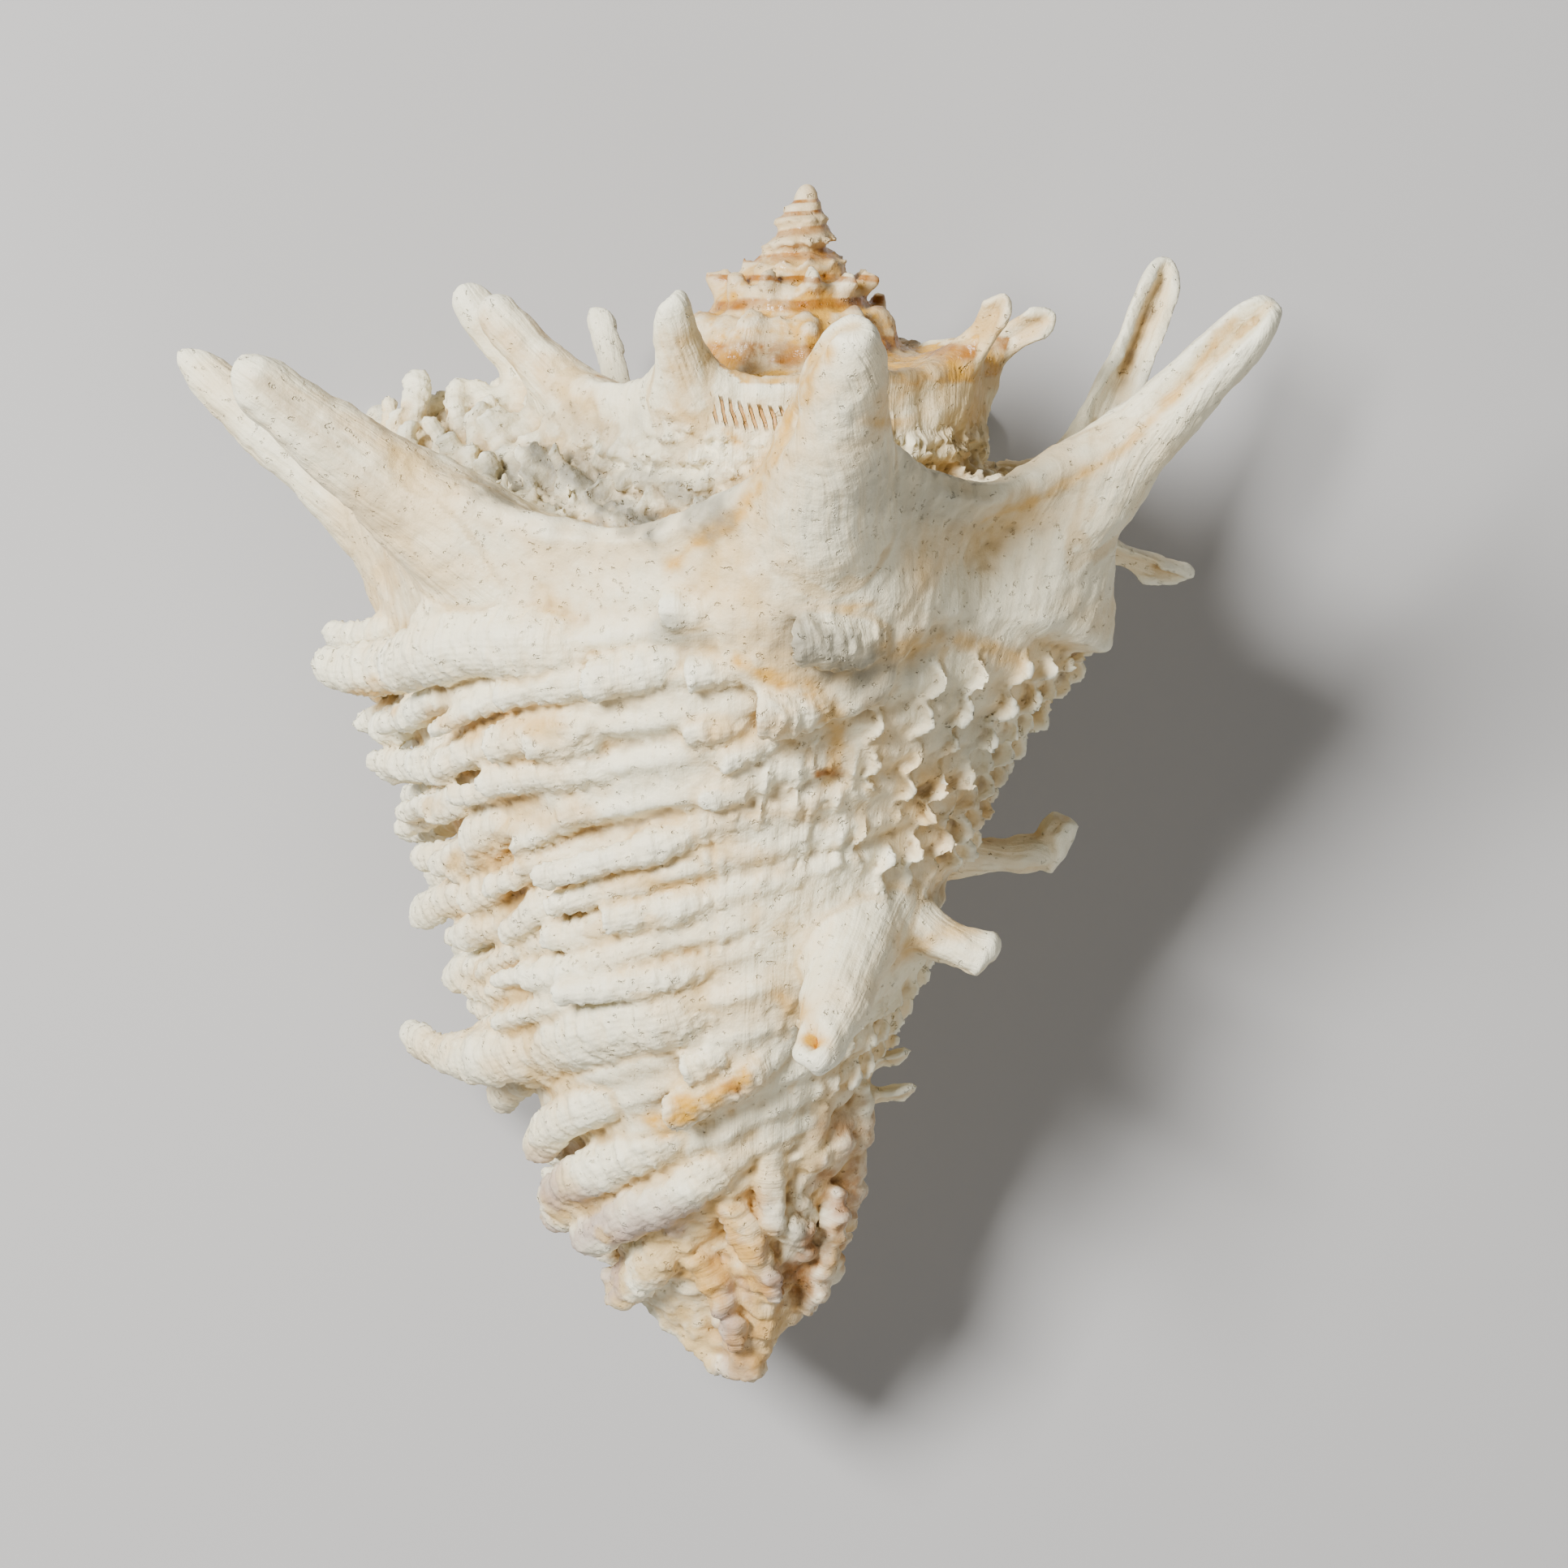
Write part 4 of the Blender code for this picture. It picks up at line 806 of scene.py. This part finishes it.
# painted shade: greyish strokes where shadow falls on the ramp behind the crest, under a scale and in other
# hollows
grey = strokes([
    ([(985, 790), (1065, 830)], 34, 0.8), ([(1100, 380), (1120, 420)], 14, 0.5),
    ([(545, 530), (700, 520)], 26, 0.4), ([(640, 585), (760, 595), (860, 615)], 44, 0.8),
    ([(660, 560), (740, 610), (800, 650)], 26, 1.0), ([(600, 520), (700, 530), (860, 560)], 30, 0.4),
    ([(1080, 600), (1180, 610)], 40, 0.5), ([(1150, 830), (1180, 900), (1230, 960)], 34, 0.4),
    ([(820, 770), (850, 790)], 22, 0.6), ([(985, 1518), (992, 1545)], 16, 0.7),
    ([(320, 470), (400, 540), (480, 640)], 20, 0.35),
])
laid *= 0.001

# the fused skin is kept in a few pieces, cut along rows of the shell and near its middle
face_mid = skin[quads].mean(1)
face_down = -face_mid[:, 1]
face_around = np.degrees(np.arctan2(-face_mid[:, 0], face_mid[:, 2]))
side_seam = 49.5 * GROW_U ** (face_around / 360.0)
low_seam = 93.0 * GROW_U ** (face_around / 360.0)
belly_seam = 69.0 * GROW_U ** (face_around / 360.0)
SPIRE_END, RIGHT_FROM = 24, 1
REGIONS = ("shoulder_left", "ribs_left", "side_right", "canal_end", "shoulder_right", "spire", "belly_left")
region = np.where(face_down < side_seam, 0, np.where(face_down < low_seam, 1, 3))
region = np.where((region == 1) & (face_mid[:, 0] > 0), 2, region)
region = np.where((region == 1) & (face_down > belly_seam), 6, region)
region = np.where((region == 0) & (face_mid[:, 0] > RIGHT_FROM), 4, region)
region = np.where((face_down < SPIRE_END) & (np.hypot(face_mid[:, 0], face_mid[:, 2]) < SPIRE_END), 5, region)
values = {"growth_line": mark[:, 1], "growth_run": mark[:, 2], "dent": near_dent, "hollow": far_dent,
          "deep": deep, "whorl": whorl, "from_apex": down, "clear": clear, "stain": stain, "brown": brown,
          "grey": grey, "spire": is_spire.astype(float), "body": (kind == BODY).astype(float),
          "scale": (kind == SCALE).astype(float)}
made = []
for code, name in enumerate(REGIONS):
    chosen = quads[region == code]
    used, index = np.unique(chosen, return_inverse=True)
    index = index.reshape(chosen.shape)
    mesh = bpy.data.meshes.new(name)
    mesh.from_pydata(laid[used].tolist(), [], index.tolist())
    for label, value in values.items():
        field = mesh.attributes.new(label, "FLOAT", "POINT")
        field.data.foreach_set("value", value[used].astype(np.float32))
    mesh.shade_smooth()
    mesh.normals_split_custom_set_from_vertices(laid_normal[used].tolist())
    piece = bpy.data.objects.new(name, mesh)
    bpy.context.scene.collection.objects.link(piece)
    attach(piece, "root")
    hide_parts("shell")
    made.append((piece, (kind[chosen] == LINING).sum(1) > 2))

# Shell lime: chalk white and cream outside, ochre stains where dirt stayed in the hollows, banded brown on
# the spire and rusty on the canal, with painted shade in the gaps, creases and shadowed places. Inside the
# opening the same lime is laid down as smooth porcelain.
def node(kind, **sets):
    """A node with its settings and the values or links of its inputs."""
    new = nodes.new(kind)
    for key, value in sets.items():
        if key.startswith("in_"):
            slot = new.inputs[int(key[3:])] if key[3:].isdigit() else new.inputs[key[3:].replace("_", " ")]
            if hasattr(value, "is_output"):
                links.new(value, slot)
            else:
                slot.default_value = value
        else:
            setattr(new, key, value)
    return new


def read(label):
    return node("ShaderNodeAttribute", attribute_name=label).outputs["Fac"]


def maths(op, a, b=0.0, clamp=False):
    return node("ShaderNodeMath", operation=op, in_0=a, in_1=b, use_clamp=clamp).outputs[0]


def times(*values):
    """The product of a few masks."""
    total = values[0]
    for value in values[1:]:
        total = maths("MULTIPLY", total, value)
    return total


def between(value, low, high, first=0.0, last=1.0):
    """A soft step of a value from low to high."""
    return node("ShaderNodeMapRange", interpolation_type="SMOOTHSTEP", in_0=value, in_1=low, in_2=high,
                in_3=first, in_4=last).outputs[0]


def mix(amount, a, b, blend="MIX"):
    new = node("ShaderNodeMix", data_type="RGBA", blend_type=blend)
    for slot, value in ((0, amount), (6, a), (7, b)):
        if hasattr(value, "is_output"):
            links.new(value, new.inputs[slot])
        else:
            new.inputs[slot].default_value = value
    return new.outputs[2]


def noise(scale, detail=4.0, rough=0.55, vector=None, warp=0.0):
    vector = vector or node("ShaderNodeTexCoord").outputs["Object"]
    return node("ShaderNodeTexNoise", in_Vector=vector, in_Scale=scale, in_Detail=detail, in_Roughness=rough,
                in_Distortion=warp).outputs["Fac"]


def effect(name, inputs, outputs):
    """Starts an effect that several finishes use, and gives its input and output sockets."""
    tree = bpy.data.node_groups.new(name, "ShaderNodeTree")
    for side, table in (("INPUT", inputs), ("OUTPUT", outputs)):
        for label, kind in table:
            tree.interface.new_socket(name=label, in_out=side, socket_type="NodeSocket" + kind)
    return tree, tree.nodes, tree.links


# growth relief: fine lines across the growth, coarser lamellae, and threads along it
growth_relief, nodes, links = effect(
    "growth_relief", [("Line", "Float"), ("Run", "Float"), ("Clear", "Float"), ("Threads", "Float")],
    [("Height", "Float"), ("Tone", "Float")])
given = node("NodeGroupInput").outputs
across = node("ShaderNodeCombineXYZ", in_0=given["Line"], in_1=times(given["Run"], 0.1)).outputs[0]
hair = noise(2.6, 3.0, 0.6, across)
lamella = noise(0.55, 2.0, 0.5, across, 0.6)
lamella = maths("FRACT", times(lamella, 7.0))
thread = maths("SINE", maths("ADD", times(given["Run"], 7.4), times(noise(120.0), 4.0)))
thread = maths("ADD", times(thread, 0.5), 0.5)
height = maths("ADD", times(hair, 0.55), times(lamella, 0.45))
height = maths("ADD", times(height, given["Clear"]), times(thread, given["Threads"], given["Clear"]))
made_up = node("NodeGroupOutput")
links.new(height, made_up.inputs["Height"])
links.new(times(between(noise(0.8, 4.0, 0.6, across), 0.4, 0.72), given["Clear"]), made_up.inputs["Tone"])

# worn lime: small pits, chalky lumps and a few black specks
worn_lime, nodes, links = effect("worn_lime", [("Size", "Float")], [("Height", "Float"), ("Speck", "Float")])
given = node("NodeGroupInput").outputs
at = node("ShaderNodeTexCoord").outputs["Object"]
sized = node("ShaderNodeVectorMath", operation="SCALE", in_0=at)
links.new(given["Size"], sized.inputs["Scale"])
lumps = noise(260.0, 5.0, 0.62, sized.outputs[0])
pit = between(noise(900.0, 3.0, 0.6, sized.outputs[0]), 0.62, 0.72)
dot = node("ShaderNodeTexVoronoi", in_Vector=at, in_Scale=260.0, in_Randomness=1.0)
rare = between(dot.outputs["Color"], 0.955, 0.96)
made_up = node("NodeGroupOutput")
links.new(maths("SUBTRACT", lumps, times(pit, 0.5)), made_up.inputs["Height"])
speck = times(between(dot.outputs["Distance"], 0.07, 0.04), rare, between(noise(38.0), 0.45, 0.6))
links.new(speck, made_up.inputs["Speck"])

# stain and painted shade: dirt and rust-coloured growth kept in hollows and along placed strokes, and painted
# shade in the deep gaps and small creases
old_stain, nodes, links = effect(
    "old_stain", [("Clean", "Color"), ("Hollow", "Float"), ("Dent", "Float"), ("Placed", "Float"),
                  ("Tan", "Color"), ("Ochre", "Color"), ("Dark", "Color")], [("Colour", "Color")])
given = node("NodeGroupInput").outputs
patchy = noise(95.0, 5.0, 0.6)
tan = times(between(given["Hollow"], 0.05, 0.6), between(patchy, 0.3, 0.56))
kept = times(between(given["Hollow"], 0.1, 0.8), between(noise(60.0, 3.0), 0.47, 0.6), 0.75)
placed = times(given["Placed"], between(noise(300.0, 4.0, 0.6), 0.25, 0.6, 0.45, 1.0))
ochre = maths("MAXIMUM", kept, placed, True)
# painted shade: deep brown in the gaps between scales and in small creases, where shadow falls
gap_shade = times(between(given["Hollow"], 0.35, 0.95), between(noise(50.0), 0.34, 0.6), 0.7)
crease_shade = times(between(given["Dent"], 0.05, 0.7), between(given["Hollow"], 0.0, 0.6))
crease_shade = times(crease_shade, between(noise(150.0), 0.3, 0.7, 0.4, 0.85))
shade = mix(times(tan, 0.75), given["Clean"], given["Tan"])
shade = mix(ochre, shade, given["Ochre"])
shade = mix(gap_shade, shade, given["Dark"])
shade = mix(crease_shade, shade, given["Dark"])
made_up = node("NodeGroupOutput")
links.new(shade, made_up.inputs["Colour"])

# chalky outside
CHALK, CREAM, TAN = (0.90, 0.83, 0.59, 1), (0.84, 0.66, 0.37, 1), (0.66, 0.43, 0.15, 1)
# the deep brown closing this line and the greyish colour opening the next are painted shade
OCHRE, RUST, SHADE_BROWN = (0.66, 0.34, 0.03, 1), (0.33, 0.12, 0.01, 1), (0.15, 0.09, 0.04, 1)
SHADE_GREY, PURPLE, WHITE = (0.19, 0.175, 0.13, 1), (0.42, 0.29, 0.25, 1), (0.95, 0.92, 0.71, 1)
HONEY, SLOT, BLACK = (0.64, 0.44, 0.20, 1), (0.50, 0.22, 0.03, 1), (0.03, 0.025, 0.02, 1)
lime = bpy.data.materials.new("shell_lime")
lime.use_nodes = True
nodes, links = lime.node_tree.nodes, lime.node_tree.links
shader = nodes["Principled BSDF"]
legible = times(read("clear"), between(read("body"), 0.0, 1.0, 1.0, 0.55))
relief = node("ShaderNodeGroup", node_tree=growth_relief, in_Line=read("growth_line"),
              in_Run=read("growth_run"), in_Clear=legible,
              in_Threads=between(read("scale"), 0.0, 1.0, 0.04, 0.16))
worn_out = node("ShaderNodeGroup", node_tree=worn_lime, in_Size=1.0)
clean = mix(between(noise(55.0, 5.0, 0.6), 0.42, 0.66), CHALK, CREAM)
clean = mix(times(relief.outputs["Tone"], 0.5), clean, CREAM)
clean = mix(times(between(read("hollow"), -0.05, -0.7), 0.8), clean, WHITE)
# the canal end is rusty and faintly purple
canal = between(maths("ADD", read("from_apex"), times(noise(60.0), 14.0)), 125.0, 137.0)
clean = mix(times(canal, between(noise(110.0, 4.0), 0.45, 0.62), 0.8), clean, TAN)
clean = mix(times(canal, between(noise(80.0, 4.0, 0.5), 0.5, 0.64), 0.75), clean, PURPLE)
hollows = maths("MAXIMUM", read("hollow"), times(read("deep"), 0.7))
stained_shaded = node("ShaderNodeGroup", node_tree=old_stain, in_Clean=clean, in_Hollow=hollows,
               in_Dent=read("dent"), in_Placed=read("stain"), in_Tan=TAN, in_Ochre=OCHRE, in_Dark=SHADE_BROWN)
shade = stained_shaded.outputs["Colour"]
# a row of slanting slots under the crest of the whorl before
slots = maths("ADD", times(read("growth_line"), 3.36), times(read("growth_run"), 2.3))
slots = maths("SINE", maths("ADD", slots, times(noise(230.0), 5.0)))
slots = times(between(slots, 0.1, 0.7), read("body"),
              between(read("growth_run"), 43.9, 44.5), between(read("growth_run"), 46.5, 45.8),
              between(read("growth_line"), -272.0, -268.0), between(read("growth_line"), -246.0, -250.0))
shade = mix(times(slots, 0.85), shade, SLOT)
# painted shadow: a tan line where one scale ends on the next
shade = mix(times(between(read("clear"), 0.7, 0.15), between(noise(75.0), 0.36, 0.6), 0.55), shade, TAN)
# painted shade: the greyish strokes darken the surface where shadow falls
shade = mix(times(read("grey"), between(noise(120.0), 0.3, 0.6, 0.5, 1.0)), shade, SHADE_GREY)
# brown bands in the seams of the spire, white on its knobs
step = maths("FRACT", maths("ADD", read("whorl"), 8.0))
step = maths("ADD", step, times(maths("SUBTRACT", noise(120.0, 3.0), 0.5), 0.5))
band = times(between(step, 0.3, 0.42), between(step, 0.82, 0.62), between(noise(230.0, 4.0, 0.6), 0.32, 0.5),
             read("spire"))
fringe = times(read("spire"), between(noise(150.0, 4.0, 0.6), 0.42, 0.56), between(read("dent"), -0.7, 0.1),
               between(read("from_apex"), 7.0, 13.0, 0.35, 1.0))
shade = mix(times(read("spire"), between(noise(90.0), 0.35, 0.6, 0.3, 0.75)), shade, HONEY)
shade = mix(times(fringe, 0.9), shade, OCHRE)
shade = mix(times(band, between(noise(340.0, 3.0), 0.3, 0.7, 0.5, 1.0)), shade, RUST)
shade = mix(times(read("brown"), between(noise(330.0, 4.0, 0.6), 0.3, 0.6, 0.4, 1.0)), shade, RUST)
shade = mix(times(worn_out.outputs["Speck"], 0.9), shade, BLACK)
links.new(shade, shader.inputs["Base Color"])
gloss = maths("MAXIMUM", band, fringe)
dull = between(maths("SUBTRACT", noise(180.0, 3.0), times(gloss, 0.6)), -0.2, 0.7, 0.22, 0.62)
links.new(dull, shader.inputs["Roughness"])
shader.inputs["Specular IOR Level"].default_value = 0.4
worn_height = maths("SUBTRACT", worn_out.outputs["Height"], times(slots, 1.5))
fine_bump = node("ShaderNodeBump", in_Height=worn_height, in_Strength=0.9, in_Distance=0.0006)
line_bump = node("ShaderNodeBump", in_Height=relief.outputs["Height"], in_Strength=0.45, in_Distance=0.0004,
                 in_Normal=fine_bump.outputs[0])
links.new(line_bump.outputs[0], shader.inputs["Normal"])

# porcelain inside the opening
porcelain = bpy.data.materials.new("lining_porcelain")
porcelain.use_nodes = True
nodes, links = porcelain.node_tree.nodes, porcelain.node_tree.links
shader = nodes["Principled BSDF"]
relief = node("ShaderNodeGroup", node_tree=growth_relief, in_Line=read("growth_line"),
              in_Run=read("growth_run"), in_Clear=read("clear"), in_Threads=0.0)
PORCELAIN, PINK, FLESH = (0.90, 0.82, 0.72, 1), (0.86, 0.62, 0.46, 1), (0.80, 0.50, 0.34, 1)
clean = mix(between(noise(40.0, 3.0), 0.4, 0.65), PORCELAIN, PINK)
clean = mix(times(relief.outputs["Tone"], 0.35), clean, FLESH)
stained_shaded = node("ShaderNodeGroup", node_tree=old_stain, in_Clean=clean, in_Hollow=0.0, in_Dent=read("dent"),
               in_Placed=0.0, in_Tan=TAN, in_Ochre=OCHRE, in_Dark=SHADE_BROWN)
links.new(stained_shaded.outputs["Colour"], shader.inputs["Base Color"])
links.new(between(noise(70.0), 0.3, 0.7, 0.12, 0.24), shader.inputs["Roughness"])
shader.inputs["Coat Weight"].default_value = 0.35
soft_bump = node("ShaderNodeBump", in_Height=relief.outputs["Height"], in_Strength=0.25, in_Distance=0.0003)
links.new(soft_bump.outputs[0], shader.inputs["Normal"])
for piece, inside in made:
    piece.data.materials.append(lime)
    if inside.any():
        piece.data.materials.append(porcelain)
        piece.data.polygons.foreach_set("material_index", inside.astype(np.int32))

# Floor: a plain pale sheet that the shell lies on.
# Soft light comes from the upper left, and a weak fill from the lower right.
HALF_FLOOR = 3
floor_mesh = bpy.data.meshes.new("floor")
corners = ((-1, -1), (1, -1), (1, 1), (-1, 1))
floor_mesh.from_pydata([(x * HALF_FLOOR, y * HALF_FLOOR, 0) for x, y in corners], [], [(0, 1, 2, 3)])
floor = bpy.data.objects.new("floor", floor_mesh)
bpy.context.scene.collection.objects.link(floor)
pale = bpy.data.materials.new("pale_floor")
pale.use_nodes = True
pale.node_tree.nodes["Principled BSDF"].inputs["Base Color"].default_value = (0.42, 0.41, 0.40, 1)
pale.node_tree.nodes["Principled BSDF"].inputs["Roughness"].default_value = 0.9
floor_mesh.materials.append(pale)
floor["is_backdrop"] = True
world = bpy.data.worlds.new("studio")
world.use_nodes = True
world.node_tree.nodes["Background"].inputs[0].default_value = (1.0, 0.98, 0.95, 1)
world.node_tree.nodes["Background"].inputs[1].default_value = 0.07
bpy.context.scene.world = world
for name, where, watts, size in (("key", (-0.46, 0.26, 0.80), 22.5, 0.28),
                                 ("fill", (0.40, -0.60, 0.70), 3.5, 0.4)):
    light = bpy.data.lights.new(name, "AREA")
    light.energy, light.size = watts, size
    lamp = bpy.data.objects.new(name, light)
    lamp.location = where
    lamp.rotation_euler = (Vector((0, 0, 0.04)) - Vector(where)).to_track_quat("-Z", "Y").to_euler()
    bpy.context.scene.collection.objects.link(lamp)

# Camera straight above the sheet that the stains are placed on, as in the photograph.
# It looks down from the same height over the shell's axis and takes in the whole sheet.
lens = bpy.data.cameras.new("camera")
lens.angle = 2 * math.atan(PIXEL * SHEET_MIDDLE / EYE)
lens.clip_start = 0.01
camera = bpy.data.objects.new("camera", lens)
camera.location = (SHEET_X * 0.001, SHEET_Y * 0.001, (EYE - FLOOR) * 0.001)
bpy.context.scene.collection.objects.link(camera)
bpy.context.scene.camera = camera

low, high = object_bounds()
